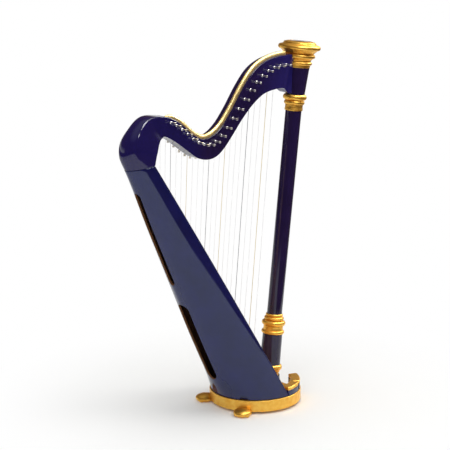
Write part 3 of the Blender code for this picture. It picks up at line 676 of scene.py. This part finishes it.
strings = {"count": 21, "firstX": 0.072, "gapBass": 0.0177, "gapTreble": 0.0142, "bass": 0.0006, "treble": 0.0004,
           "standOff": 0.0087, "footY": 0.006, "bridgeDrop": 0.010, "bridgeShift": 0.0022, "bridgeRadius": 0.0014,
           "rib": 0.003, "turns": 2, "perTurn": 24, "pitchGap": 0.0006, "pinRadius": 0.0024, "pinGap": 0.0001,
           "tuck": 0.001,
           "pins": ((-0.256, 0.669), (-0.232, 0.657), (-0.205, 0.637), (-0.178, 0.6165), (-0.150, 0.607),
                    (-0.124, 0.614), (-0.098, 0.636), (-0.064, 0.675), (-0.027, 0.7165), (0.007, 0.743),
                    (0.040, 0.7565), (0.080, 0.7585))}
down = Vector((-math.sin(stringLean), 0, -math.cos(stringLean)))
acrossString = Vector((math.cos(stringLean), 0, -math.sin(stringLean)))
outward = Vector((0, 1, 0))
offBoard = Vector((math.cos(board["lean"]), 0, math.sin(board["lean"])))
stringY = neckHalf + strings["standOff"]


def stringFacts(number):
    share = number / (strings["count"] - 1)
    x = strings["firstX"] - number * (strings["gapBass"] + (strings["gapTreble"] - strings["gapBass"]) * share / 2)
    hold = Vector((x, 0, heightOn(strings["pins"], x)))
    radius = strings["bass"] + (strings["treble"] - strings["bass"]) * share
    bridge = hold + down * strings["bridgeDrop"] + acrossString * strings["bridgeShift"]
    passing = bridge + acrossString * (strings["bridgeRadius"] + base["seat"] + radius)
    boardPoint = Vector((board["footX"], 0, plinthHigh)) + offBoard * (strings["rib"] + base["seat"])
    length = (boardPoint - passing).dot(offBoard) / down.dot(offBoard)
    return {"pin": hold, "radius": radius, "bridge": bridge, "passing": passing, "length": length,
            "foot": passing + down * length}


def onString(facts, distance):
    place = facts["passing"] + down * distance
    return place + outward * (stringY + (strings["footY"] - stringY) * distance / facts["length"])


allStrings = [stringFacts(number) for number in range(strings["count"])]


# Shoulder and neck: one flowing piece from the top of the soundbox to the column

neck = {"rounding": 0.0026, "sideEnd": 25, "topStart": 65, "rows": 260, "steps": 48, "endX": 0.118,
        "top": ((-0.2612, 0.6785), (-0.240, 0.6712), (-0.2182, 0.659), (-0.200, 0.643), (-0.180, 0.6285),
                (-0.158, 0.620), (-0.132, 0.6265), (-0.106, 0.6455), (-0.080, 0.677), (-0.050, 0.7195),
                (-0.020, 0.753), (0.012, 0.771), (0.046, 0.7785), (0.084, 0.7795)),
        "low": ((-0.2612, 0.6365), (-0.231, 0.6195), (-0.200, 0.597), (-0.176, 0.581), (-0.150, 0.5745),
                (-0.126, 0.5785), (-0.104, 0.594), (-0.080, 0.6205), (-0.054, 0.651), (-0.024, 0.680),
                (0.006, 0.6995), (0.036, 0.7065), (0.064, 0.707), (0.0855, 0.6935))}
shoulder = {"inner": ((0, 0), (0.003, 0.016), (0.0075, 0.0295), (0.0165, 0.042), (0.029, 0.0505)),
            "outer": ((0, 0), (-0.0095, 0.0275), (-0.0035, 0.058), (0.018, 0.0865), (0.049, 0.1065)),
            "narrow": (0, -0.03, 0.01, 0.40, 0.86, 1), "round": (1.7, 2.25, 2.8, 3.3, 4.8, 9.0),
            "squareFrom": 0.55, "soft": 0.0009}
pared = {"start": 0.0834, "level": 0.765, "slope": 0.316, "length": 0.020, "half": 0.0098}
pinBore = {"radius": 0.00265, "long": 0.06}
bead = {"start": -0.2585, "end": 0.0735, "half": 0.0050, "high": 0.0086, "shift": -0.0088, "round": 2.0,
        "rise": 0.016, "least": 0.02, "lift": 0.0001, "rows": 240, "steps": 24}


def neckSection(half, depth, count):  # square below, rounded above, like halfOval in its order
    r, first, last = neck["rounding"], neck["sideEnd"], neck["topStart"]  # degrees that the three parts take
    points = []
    for i in range(count + 1):
        angle = math.degrees(math.pi * min(i, count - i) / count)
        if angle <= first:
            side, up = half, (depth - r) * angle / first
        elif angle < last:
            turn = math.radians((angle - first) / (last - first) * 90)
            side, up = half - r + r * math.cos(turn), depth - r + r * math.sin(turn)
        else:
            side, up = (half - r) * (90 - angle) / (90 - last), depth
        points.append((side if 2 * i <= count else -side, up))
    return points


def neckRows():
    front = Vector((boardX(box["top"]), 0, box["top"] + base["seat"]))
    tilt = box["tilt"]
    back = front + boxDepth(box["top"]) * Vector((-math.cos(tilt), 0, -math.sin(tilt)))
    inner = [(front.x + x, front.z + z) for x, z in shoulder["inner"]] + list(neck["low"])
    outer = [(back.x + x, back.z + z) for x, z in shoulder["outer"]] + list(neck["top"])
    inner.append((neck["endX"], neck["low"][-1][1]))  # both lines run on into the drum
    outer.append((neck["endX"], neck["top"][-1][1]))
    low, high = flowing(inner, neck["rows"]), flowing(outer, neck["rows"])
    span = len(shoulder["inner"])
    narrowing = box["halfHigh"] - neckHalf
    rows = []
    for i, (a, b) in enumerate(zip(low, high)):
        place = i * (len(inner) - 1) / (neck["rows"] - 1)
        share = min(1, place / span) * (len(shoulder["narrow"]) - 1)
        half = box["halfHigh"] - narrowing * smoothValue(shoulder["narrow"], share)
        roundness = smoothValue(shoulder["round"], share)
        a, b = Vector((a[0], 0, a[1])), Vector((b[0], 0, b[1]))
        depth = (b - a).length
        direction = (b - a).normalized()
        blendIn = min(1, max(0, (place / span - shoulder["squareFrom"]) / (1 - shoulder["squareFrom"])))
        blendIn = blendIn * blendIn * (3 - 2 * blendIn)
        section = [(p[0] + (q[0] - p[0]) * blendIn, p[1] + (q[1] - p[1]) * blendIn)
                   for p, q in zip(halfOval(half, depth, roundness, neck["steps"]),
                                   neckSection(half, depth, neck["steps"]))]
        row = []
        soft = shoulder["soft"] if i == 0 else 0  # a small rounding where the block sits on the soundbox
        for y, up in section:  # the sides are pared down towards the drum, sooner below than above
            point = a + direction * (up + soft * (1 - 2 * up / depth))
            start = pared["start"] - (pared["level"] - point.z) * pared["slope"] if y < 0 else pared["start"]
            share = min(1, max(0, (point.x - start) / pared["length"]))
            wide = (1 - soft / half) * (1 + (pared["half"] / neckHalf - 1) * share)
            row.append(point + Vector((0, y * wide, 0)))
        rows.append(row + [row[0]])
    return rows


def makeNeck():
    obj = skin("shoulderAndNeck", neckRows())
    obj.data.materials.append(neckLacquer)
    bores = []
    for facts in allStrings:
        bore = primitive("bore", "cylinder", vertices=32, radius=pinBore["radius"], depth=pinBore["long"])
        bore.data.transform(Matrix.Translation(facts["pin"]) @ Matrix.Rotation(math.pi / 2, 4, "X"))
        bores.append(bore)
    bores = joinAll("bores", bores)
    bores.data.materials.append(bareWood)
    cutWith(obj, bores)
    smoothPiece(obj, 45)
    placed(obj)
    finish(obj, None, ["neck", "shoulder_block"])


def makeBead():
    rows = []
    line = [point for point in flowing(neck["top"], bead["rows"]) if bead["start"] < point.x < bead["end"]]
    profile = halfOval(-bead["half"], bead["high"], bead["round"], bead["steps"])
    for before, point, after in zip([line[0]] + line, line, line[1:] + [line[-1]]):
        slope = (after - before).normalized()
        normal = Vector((-slope.y, 0, slope.x))
        place = Vector((point.x, bead["shift"], point.y)) + normal * bead["lift"]
        grown = math.sqrt(min(1, bead["least"] + (point.x - bead["start"]) / bead["rise"]))  # it starts as a point
        row = [place + Vector((0, y * grown, 0)) + normal * h * grown for y, h in profile]
        rows.append(row + [row[0]])
    obj = skin("neckBead", rows)
    smoothPiece(obj, 60)
    placed(obj)
    # the bead takes the paler gold, whose lighter colour is painted sheen
    finish(obj, sheenPaintedGold, ["neck_bead"])


makeNeck()
makeBead()
print("neck made")


# Base: gilded plinth and dark step, open in front, with a gilded moulding along the rim

foot = {"mouth": math.radians(19), "cleft": math.radians(54), "cleftDepth": 0.012, "cleftHalf": 0.006,
        "rim": 0.022, "stepInset": 0.0015, "stepHeight": 0.012, "moulding": 0.008, "underBoard": 0.004,
        "boardGap": 0.0004, "endShare": 0.7, "endShift": 0.002, "pedestal": 0.0075, "pedestalMiddle": 0.0035,
        "plinthSoft": 0.0022, "stepSoft": 0.0012, "mouldingSoft": 0.0020}


def bothSides(half):
    return list(half) + [(x, -y) for x, y in reversed(half) if abs(y) > 0.000001]


def recessLines():
    inner = base["radius"] - foot["rim"]
    back = column["footX"] - column["pedestalRadius"] / 2
    tongue = arc(column["pedestalRadius"], 0, -math.pi * 2 / 3, 32, (column["footX"], 0))
    return tongue, arc(inner, -math.acos(back / inner), -foot["mouth"], 24)


def rimLine(radius):
    side = foot["cleftHalf"] / radius
    tip = radius - foot["cleftDepth"]
    return (arc(radius, -foot["mouth"], -(foot["cleft"] - side), 20)
            + [(tip * math.cos(foot["cleft"]), -tip * math.sin(foot["cleft"]))]
            + arc(radius, -(foot["cleft"] + side), -math.pi / 2, 20))


def makePlinth():
    tongue, recess = recessLines()
    half = tongue + recess + arc(base["radius"], -foot["mouth"], -math.pi, 96)
    obj = plate("goldPlinth", bothSides(half), base["low"], plinthHigh)
    softEdges(obj, foot["plinthSoft"], 4, 50)
    placed(obj)
    finish(obj, gold, ["base_plinth"])


def makeStep():
    tongue, recess = recessLines()
    low = plinthHigh + base["seat"]
    high = low + foot["stepHeight"]
    radius = base["radius"] - foot["stepInset"]
    frontX = boardX(low) - foot["underBoard"]
    sideY = -math.sqrt(radius ** 2 - frontX ** 2)
    rim = [point for point in rimLine(radius) if point[0] > board["footX"]] + [(frontX, sideY)]
    step = plate("baseStep", bothSides(tongue + recess + rim), low, high)
    endX, endY = recess[0][0] - foot["endShift"], recess[0][1] * foot["endShare"]
    loop = recess + rim + [(frontX, endY), (endX, endY)]
    mouldings = [plate("moulding", loop, high, high + foot["moulding"]),
                 plate("moulding", [(x, -y) for x, y in reversed(loop)], high, high + foot["moulding"])]
    pedestal = primitive("pedestal", "cylinder", vertices=96, radius=column["pedestalRadius"],
                         depth=foot["pedestal"], location=(column["footX"], 0, high + foot["pedestalMiddle"]))
    lean = board["lean"]
    for part in [step] + mouldings:  # what would reach into the soundboard is cut off along its front
        editOnly(part)
        bpy.ops.mesh.bisect(plane_co=(boardX(low) + foot["boardGap"], 0, low),
                            plane_no=(-math.cos(lean), 0, -math.sin(lean)),
                            use_fill=True, clear_outer=True)
        leaveEdit()
    softEdges(step, foot["stepSoft"])
    finish(placed(step), blueLacquer, ["base_step"])
    for name, part in zip(("mouldingRight", "mouldingLeft"), mouldings):
        softEdges(part, foot["mouldingSoft"], 4)
        placed(part)
        part.name = name
        finish(part, gold, ["base_step"])
    softEdges(pedestal, foot["stepSoft"])
    finish(placed(pedestal), violetLacquer, ["base_step"])


paw = {"length": 0.046, "width": 0.041, "height": 0.017, "standOut": 0.009, "angle": math.radians(144.5),
       "padSwell": 1.12, "padMiddle": 0.44, "toes": 4, "toe": 0.0062, "toeSpread": 0.0088, "toeReach": 0.0135,
       "toeBack": 0.0018, "toeScale": (1.25, 0.72, 0.92), "toeMiddle": 0.86, "voxel": 0.0007,
       "cut": 0.1}
glide = {"radius": 0.009, "angle": math.radians(38), "soft": 0.0012}


def bothFeet(obj, name, node, angle, reach, material):
    for side, turn in (("Right", -angle), ("Left", angle)):
        made = copyOf(obj, name + side, Matrix.Rotation(turn, 4, "Z") @ Matrix.Translation((reach, 0, 0)))
        finish(placed(made), material, [node + side.lower()])
    bpy.data.objects.remove(obj, do_unlink=True)


def makePaw():  # a pad with four toes that melt into it, flat below and hollowed where it meets the plinth
    lumps = [primitive("pad", "uv_sphere", segments=48, ring_count=24, radius=0.5,
                       scale=(paw["length"], paw["width"], paw["height"] * paw["padSwell"]),
                       location=(0, 0, paw["height"] * paw["padMiddle"]))]
    for i in range(paw["toes"]):
        side = i - (paw["toes"] - 1) / 2
        centre = (paw["toeReach"] - side ** 2 * paw["toeBack"], side * paw["toeSpread"], paw["toe"] * paw["toeMiddle"])
        lumps.append(primitive("toe", "uv_sphere", segments=32, ring_count=16, radius=paw["toe"],
                               scale=paw["toeScale"], location=centre))
    obj = joinAll("paw", lumps)
    applyModifier(obj, "REMESH", mode="VOXEL", voxel_size=paw["voxel"])
    applyModifier(obj, "SMOOTH", factor=0.5, iterations=3)
    reach = base["radius"] + paw["standOut"]
    cutWith(obj, primitive("pawHollow", "cylinder", vertices=192, radius=base["radius"] + base["seat"],
                           depth=paw["cut"], location=(-reach, 0, base["low"] - base["seat"] + paw["cut"] / 2)))
    cutWith(obj, primitive("ground", "cube", size=2 * paw["cut"], location=(0, 0, -paw["cut"])))
    cleanMesh(obj)
    smoothPiece(obj, 40)
    bothFeet(obj, "backPaw", "back_foot_", paw["angle"], reach, gold)


def makeGlides():
    high, radius, soft = base["low"] - base["seat"], glide["radius"], glide["soft"]
    edge = arc(soft, 0, -math.pi / 2, 6, (radius - soft, soft))
    pad = turned("glide", [(0, high), (radius, high)] + edge + [(0, 0)], 48)
    smoothPiece(pad, 40)
    bothFeet(pad, "feltGlide", "front_glide_", glide["angle"], base["radius"] - foot["rim"] / 2, felt)


makePlinth()
makeStep()
makePaw()
makeGlides()
print("base made")


# Strings, each with its winding, and the rib that holds them on the soundboard

octave = {"strings": 7, "colours": {2: amberNylon, 5: blackNylon}}  # one amber and one dark string in each octave


def makeString(number, facts):
    perTurn = strings["perTurn"]
    turns = strings["turns"] * perTurn
    pitch = 2 * facts["radius"] + strings["pitchGap"]
    wrap = strings["pinRadius"] + strings["pinGap"] + facts["radius"]
    points = []
    for i in range(-turns, 1):
        angle = 2 * math.pi * i / perTurn
        side = (acrossString * math.cos(angle) + down * math.sin(angle)) * wrap
        points.append(facts["pin"] + side + outward * (stringY + pitch * i / perTurn))
    points += [onString(facts, 0), onString(facts, facts["length"] + strings["tuck"])]
    curve = bpy.data.curves.new("string", "CURVE")
    curve.dimensions = "3D"
    curve.bevel_depth = facts["radius"]
    curve.bevel_resolution = 3
    curve.use_fill_caps = True
    spline = curve.splines.new("POLY")
    spline.points.add(len(points) - 1)
    for point, place in zip(spline.points, points):
        point.co = (*place, 1)
    obj = bpy.data.objects.new(f"string{number:02d}", curve)
    bpy.context.scene.collection.objects.link(obj)
    selectOnly(obj)
    bpy.ops.object.convert(target="MESH")
    obj = newPiece(f"string{number:02d}")
    smoothPiece(obj, 60)
    placed(obj)
    finish(obj, octave["colours"].get(number % octave["strings"], clearNylon), ["strings_and_rib"])


rib = {"width": 0.010, "margin": 0.011, "soft": 0.0009, "eyelet": 0.0021, "eyeletHole": 0.0009,
       "eyeletHigh": 0.0007, "eyeletFloor": 0.2, "eyeletLip": 0.0003, "eyeletSlope": 0.0006, "eyeletSunk": -0.0004}


def makeRib():  # glued along the soundboard's middle, with an eyelet for every string
    first, last = allStrings[0]["foot"], allStrings[-1]["foot"]
    along = (first - last).normalized()
    length = (last - first).length + 2 * rib["margin"]
    obj = block("stringRib", (length, rib["width"], strings["rib"]), (0, 0, 0), rib["soft"])
    turn = Matrix((along, along.cross(-offBoard), offBoard)).transposed().to_4x4()
    middle = (first + last) / 2 + outward * strings["footY"] - offBoard * strings["rib"] / 2
    obj.data.transform(Matrix.Translation(middle) @ turn)
    finish(placed(obj), ribWood, ["strings_and_rib"])
    hole, edge, high, sunk = rib["eyeletHole"], rib["eyelet"], rib["eyeletHigh"], rib["eyeletSunk"]
    floor = high * rib["eyeletFloor"]
    ring = turned("eyelet", [(0, floor), (hole, floor), (hole + rib["eyeletLip"], high),
                             (edge - rib["eyeletSlope"], high), (edge, 0), (edge, sunk), (0, sunk)], 24)
    smoothPiece(ring, 50)
    rings = [copyOf(ring, "eyelet", Matrix.Translation(facts["foot"] + outward * strings["footY"]) @ turn)
             for facts in allStrings]
    bpy.data.objects.remove(ring, do_unlink=True)
    finish(placed(joinAll("ribEyelets", rings)), nickel, ["strings_and_rib"])


for number, facts in enumerate(allStrings, 1):
    makeString(number, facts)
makeRib()
print("strings made")


# Metal on the neck for each string: a tuning pin, a bridge pin, and a fret and post that carry the lever's axle.
# Each outline's points are offsets from its own edge, but a bridge pin's widths are shares of its half width.

pin = {"radius": 0.0024, "beyond": 0.0036, "tip": ((-0.0006, 0), (-0.0001, -0.0003), (0, -0.0007)),
       "collar": 0.0028, "collarThick": 0.0010, "collarGap": 0.0003, "collarTop": ((-0.0004, 0), (0, -0.0004)),
       "collarFoot": ((0, 0.0006), (-0.0006, 0)), "hole": 0.0006, "holeLong": 0.01, "holeDrop": 0.0040,
       "neck": 0.0018, "keyEnd": 0.016, "square": 0.0045, "squareLong": 0.0070, "squareSoft": 0.0012,
       "squareRoot": 0.001, "widest": 1.1, "narrowing": 0.2}
bridgePin = {"beyond": 0.0035, "tip": ((0, 0), (0.6, -0.0001), (1, -0.0006)),
             "groove": ((1, 0.0009), (0.9, 0.0005), (0.9, -0.0005), (1, -0.0009)),
             "flange": ((1, 0.0008), (1.5, 0.0005), (1.5, -0.0005), (0, -0.0005))}
lever = {"share": 0.050, "above": 0.005, "hub": 0.0029, "axle": 0.0012, "width": 0.0054, "offset": 0.0005,
         "reach": 0.0165, "handle": 0.0024, "bend": 0.0024, "play": 0.0003, "post": 0.0026, "postHalf": 0.0026,
         "postAbove": 0.0016, "postSoft": 0.0005, "fretWide": 0.0036, "fretLong": 0.0022, "fretPlay": 0.0004,
         "fretSoft": 0.0004, "sunk": 0.0005, "axleBeyond": 0.001, "axleSoft": 0.0002, "borePlay": 0.0002,
         "boreLong": 0.02, "noseHalf": 0.0006, "noseRoot": 0.0012, "noseSoft": 0.0001, "noseShare": 0.83,
         "neckLow": 1.15, "neckHigh": 1.1, "neckWider": 0.0003, "soft": 0.0004}


def upright(spot):  # where a pin that was turned along z stands on the neck's side
    return Matrix.Translation(spot) @ Matrix.Rotation(-math.pi / 2, 4, "X")


def onEveryString(obj, name, node, places, material):
    for number, place in enumerate(places, 1):
        made = placed(copyOf(obj, f"{name}{number:02d}", place))
        finish(made, material, [f"{node}_{number:02d}"], f"{node}_{number:02d}")
    bpy.data.objects.remove(obj, do_unlink=True)


def leverPlace(facts):  # the axle's middle: x across the string, y outwards, z up along it
    spot = onString(facts, facts["length"] * lever["share"]) + outward * lever["above"]
    return Matrix.Translation(spot) @ Matrix((acrossString, outward, -down)).transposed().to_4x4()


def offsetLine(x, y, points):
    return [(x + shiftX, y + shiftY) for shiftX, shiftY in points]


def makePins():
    r, high = pin["radius"], stringY + pin["beyond"]
    collarHigh = -neckHalf - pin["collarGap"]
    collarLow = collarHigh - pin["collarThick"]
    end = -neckHalf - pin["keyEnd"]
    shaftLow = end + pin["squareLong"]
    outline = [(0, high)] + offsetLine(r, high, pin["tip"]) + [(r, collarHigh)]
    outline += offsetLine(pin["collar"], collarHigh, pin["collarTop"])
    outline += offsetLine(pin["collar"], collarLow, pin["collarFoot"])
    outline += [(pin["neck"], collarLow), (pin["neck"], shaftLow), (0, shaftLow)]
    shaft = turned("shaft", outline, 32)
    smoothPiece(shaft, 40)
    hole = primitive("stringHole", "cylinder", vertices=16, radius=pin["hole"], depth=pin["holeLong"])
    hole.data.transform(Matrix.Translation((0, 0, stringY - pin["holeDrop"])) @ Matrix.Rotation(math.pi / 2, 4, "X"))
    cutWith(shaft, hole)
    squareLong = pin["squareLong"] + pin["squareRoot"]
    square = block("square", (pin["square"], pin["square"], squareLong), (0, 0, end + squareLong / 2),
                   pin["squareSoft"])
    for vertex in square.data.vertices:  # the key's square is drawn in a little at its root
        taper = pin["widest"] - pin["narrowing"] * min(1, (vertex.co.z - end) / pin["squareLong"])
        vertex.co.x, vertex.co.y = vertex.co.x * taper, vertex.co.y * taper
    places = [upright(facts["pin"]) for facts in allStrings]
    onEveryString(joinAll("tuningPin", [shaft, square]), "tuningPin", "tuning_pin", places, nickel)


def makeFittings():
    half = strings["bridgeRadius"]
    high = stringY + bridgePin["beyond"]
    levels = ((high, bridgePin["tip"]), (stringY, bridgePin["groove"]), (neckHalf, bridgePin["flange"]))
    bridge = turned("bridgePin", [(half * share, level + z) for level, points in levels for share, z in points], 24)
    smoothPiece(bridge, 40)
    postX = -lever["width"] / 2 - lever["offset"] - lever["play"] - lever["post"] / 2
    postHigh = lever["axle"] + lever["postAbove"]
    axleEnd = lever["width"] / 2 - lever["offset"] + lever["axleBeyond"]
    for number, facts in enumerate(allStrings, 1):
        place = leverPlace(facts)
        root = neckHalf - lever["sunk"] - place.translation.y
        fretHigh = -lever["above"] - facts["radius"] - lever["fretPlay"]
        post = block("post", (lever["post"], postHigh - root, 2 * lever["postHalf"]),
                     (postX, (postHigh + root) / 2, 0), lever["postSoft"])
        fret = block("fret", (lever["fretWide"], fretHigh - root, lever["fretLong"]),
                     (0, (fretHigh + root) / 2, 0), lever["fretSoft"])
        axle = primitive("axle", "cylinder", vertices=24, radius=lever["axle"], depth=axleEnd - postX)
        softEdges(axle, lever["axleSoft"])
        axle.data.transform(Matrix.Translation(((axleEnd + postX) / 2, 0, 0)) @ Matrix.Rotation(math.pi / 2, 4, "Y"))
        for part in (post, fret, axle):
            part.data.transform(place)
        rod = copyOf(bridge, "bridge", upright(facts["bridge"]))
        obj = placed(joinAll(f"stringFitting{number:02d}", [post, fret, axle, rod]))
        finish(obj, nickel, ["neck"])
    bpy.data.objects.remove(bridge, do_unlink=True)


def makeLevers():
    hub, nose = lever["hub"], lever["above"] - strings["bass"] - lever["play"]
    thin, tip = lever["handle"] / 2, lever["bend"]
    noseTip, noseFoot = (lever["noseHalf"], nose - lever["noseSoft"]), (lever["noseRoot"], nose * lever["noseShare"])
    outline = [(-noseTip[0], noseTip[1]), (-noseFoot[0], noseFoot[1])]
    outline += arc(hub, math.radians(135), math.radians(225), 10)
    outline += [(-thin, -hub * lever["neckLow"])]
    outline += arc(thin, math.pi, 2 * math.pi, 10, (tip, -lever["reach"] + thin))
    outline += [(thin + lever["neckWider"], -hub * lever["neckHigh"])]
    outline += arc(hub, math.radians(315), math.radians(405), 10) + [noseFoot, noseTip]
    wide = lever["width"] / 2
    obj = plate("lever", outline, -wide - lever["offset"], wide - lever["offset"])
    softEdges(obj, lever["soft"])
    cutWith(obj, primitive("axleBore", "cylinder", vertices=32, radius=lever["axle"] + lever["borePlay"],
                           depth=lever["boreLong"]))
    smoothPiece(obj, 40)
    obj.data.transform(Matrix(((0, 0, 1, 0), (1, 0, 0, 0), (0, 1, 0, 0), (0, 0, 0, 1))))
    places = [leverPlace(facts) for facts in allStrings]
    onEveryString(obj, "sharpingLever", "lever", places, plastic)


makePins()
makeFittings()
makeLevers()
print("pins and levers made")


# Floor, lights, camera

studio = {"floor": 60, "sheetEnd": -0.95, "sheetTurn": -0.17, "sheetSlope": 0.95, "sheetFade": 0.06,
          "cornerTurn": 0.12, "cornerSlope": 0.85,
          "rightFrom": 1.8, "rightTo": 3.4, "roundFrom": 2.7, "roundTo": 3.8,
          "whiteFrom": 0.17, "whiteTo": 0.64, "darkFrom": 0.05, "darkTo": 0.19, "dark": "#5c463c",
          "ceilingFrom": 0.62, "ceilingTo": 0.9, "ceiling": "#c4c0b8",
          "backFrom": 0.0, "backTo": 0.35, "ambient": 0.68}
# Each lamp's place, size and power, whether a polished surface mirrors it and whether it lights the harp
lamps = {"keySoftbox": ((1.2, -1.5, 3.1), 1.5, 27, True, True),
         "fillSoftbox": ((-2.3, -1.5, 2.2), 2.2, 24, False, True),
         "rightCard": ((2.7, -0.2, 2.4), 1.5, 95, True, False),
         "frontCard": ((-0.1, -2.3, 3.6), 1.5, 95, True, False),
         "topSoftbox": ((0.1, 0.1, 3.5), 1.4, 13, False, True)}
lampAim = Vector((0, 0, 0.45))
camera = {"lens": 132, "sensor": 36, "far": 100, "place": (-2.3119, -2.6975, 1.2523),
          "right": (0.77162, -0.63608, 0), "ahead": (0.61876, 0.75062, -0.23175)}


def seenDirectly(add, path):  # by the camera, also through a clear string
    return add("Math", {0: path.outputs["Is Camera Ray"], 1: path.outputs["Is Transmission Ray"]},
               operation="MAXIMUM")


def paperSheet():
    # White paper sheet; past its front edge, which only reflections show, the studio is dim and warm
    material, add, shader, place = newMaterial("whitePaperSheet", Roughness=0.6, Specular_IOR_Level=0.15)
    haze = add("TexNoise", {"Vector": place, "Scale": 3, "Detail": 2})
    ramp = add("ValToRGB", {"Fac": haze}, ((0, "#fafaf8"), (1, "#fdfdfb")))
    spot = add("SeparateXYZ", {"Vector": place})
    # The sheet's front edge is straight; it runs further forward at the left and is cut off at the right
    left = add("Math", {0: spot.outputs["X"], 1: -studio["sheetTurn"]}, operation="ADD")
    turn = add("Math", {0: left, 1: 0.0}, operation="MINIMUM")
    edge = add("Math", {0: turn, 1: studio["sheetSlope"], 2: studio["sheetEnd"]}, operation="MULTIPLY_ADD")
    right = add("Math", {0: spot.outputs["X"], 1: -studio["cornerTurn"]}, operation="ADD")
    corner = add("Math", {0: right, 1: 0.0}, operation="MAXIMUM")
    whole = add("Math", {0: corner, 1: studio["cornerSlope"], 2: edge}, operation="MULTIPLY_ADD")
    beyond = add("Math", {0: whole, 1: spot.outputs["Y"]}, operation="SUBTRACT")
    past = add("MapRange", {"Value": beyond, "From Min": -studio["sheetFade"], "From Max": studio["sheetFade"]})
    toRight = add("MapRange", {"Value": spot.outputs["X"], "From Min": studio["rightFrom"],
                               "From Max": studio["rightTo"]})
    fromHarp = add("VectorMath", {0: place, 1: (baseX, 0, 0)}, operation="DISTANCE")
    far = add("MapRange", {"Value": fromHarp.outputs["Value"], "From Min": studio["roundFrom"],
                           "From Max": studio["roundTo"]})
    around = add("Math", {0: far, 1: toRight}, operation="MAXIMUM")
    off = add("Math", {0: past, 1: around}, operation="MAXIMUM")
    path = add("LightPath")
    hidden = add("Math", {0: off, 1: path.outputs["Is Glossy Ray"]}, operation="MULTIPLY")
    shade = add("MixRGB", {"Fac": hidden, "Color1": ramp, "Color2": hexColour(studio["dark"])})
    setInputs(shader, {"Base Color": shade})
    # To the camera the paper turns pure white away from the harp, whose shadow it keeps near by
    white = add("MapRange", {"Value": fromHarp.outputs["Value"], "From Min": studio["whiteFrom"],
                             "From Max": studio["whiteTo"]}, interpolation_type="SMOOTHSTEP")
    share = add("Math", {0: white, 1: seenDirectly(add, path)}, operation="MULTIPLY")
    glow = add("Emission", {"Color": (1, 1, 1, 1), "Strength": 1})
    both = add("MixShader", {0: share, 1: shader.outputs["BSDF"], 2: glow})
    setInputs(material.node_tree.nodes["Material Output"], {"Surface": both})
    return material


def makeFloor():
    floor = primitive("floor", "plane", size=studio["floor"])
    floor.data.materials.append(paperSheet())


def makeWorld():
    world = bpy.data.worlds.new("studio")
    bpy.context.scene.world = world
    world.use_nodes = True
    add = partial(addNode, world.node_tree)
    # White backdrop low behind the harp, pale ceiling, dim room elsewhere; plain grey light for all else
    way = add("TexCoord").outputs["Generated"]
    split = add("SeparateXYZ", {"Vector": way})
    above = add("MapRange", {"Value": split.outputs["Z"], "From Min": studio["darkFrom"],
                             "From Max": studio["darkTo"], "To Min": 1, "To Max": 0})
    back = add("Math", {0: split.outputs["X"], 1: 0.5, 2: split.outputs["Y"]}, operation="MULTIPLY_ADD")
    behind = add("MapRange", {"Value": back, "From Min": studio["backFrom"], "From Max": studio["backTo"]})
    lit = add("Math", {0: above, 1: behind}, operation="MULTIPLY")
    high = add("MapRange", {"Value": split.outputs["Z"], "From Min": studio["ceilingFrom"],
                            "From Max": studio["ceilingTo"]})
    dim = add("MixRGB", {"Fac": high, "Color1": hexColour(studio["dark"]), "Color2": hexColour(studio["ceiling"])})
    room = add("MixRGB", {"Fac": lit, "Color1": dim, "Color2": (1, 1, 1, 1)})
    path = add("LightPath")
    grey = (studio["ambient"],) * 3 + (1,)
    plain = add("MixRGB", {"Fac": path.outputs["Is Glossy Ray"], "Color1": grey, "Color2": room})
    seen = add("MixRGB", {"Fac": seenDirectly(add, path), "Color1": plain, "Color2": (1, 1, 1, 1)})
    setInputs(world.node_tree.nodes["Background"], {"Color": seen})


def makeLamp(name, place, size, power, mirrored, lighting):
    light = bpy.data.lights.new(name, "AREA")
    light.shape = "SQUARE"
    light.size = size
    light.energy = power
    lamp = bpy.data.objects.new(name, light)
    bpy.context.scene.collection.objects.link(lamp)
    lamp.location = place
    lamp.rotation_euler = (lampAim - Vector(place)).to_track_quat("-Z", "Y").to_euler()
    lamp.visible_glossy = mirrored
    lamp.visible_diffuse = lighting


def makeCamera():
    data = bpy.data.cameras.new("camera")
    data.lens = camera["lens"]
    data.sensor_width = camera["sensor"]
    data.clip_end = camera["far"]
    viewer = bpy.data.objects.new("camera", data)
    bpy.context.scene.collection.objects.link(viewer)
    right, ahead = Vector(camera["right"]), Vector(camera["ahead"])
    turn = Matrix((right, right.cross(ahead), -ahead)).transposed().to_4x4()
    viewer.matrix_world = Matrix.Translation(Vector((baseX, 0, 0)) + Vector(camera["place"])) @ turn
    bpy.context.scene.camera = viewer


makeFloor()
makeWorld()
for name, values in lamps.items():
    makeLamp(name, *values)
makeCamera()
bpy.context.scene.view_settings.view_transform = "Standard"
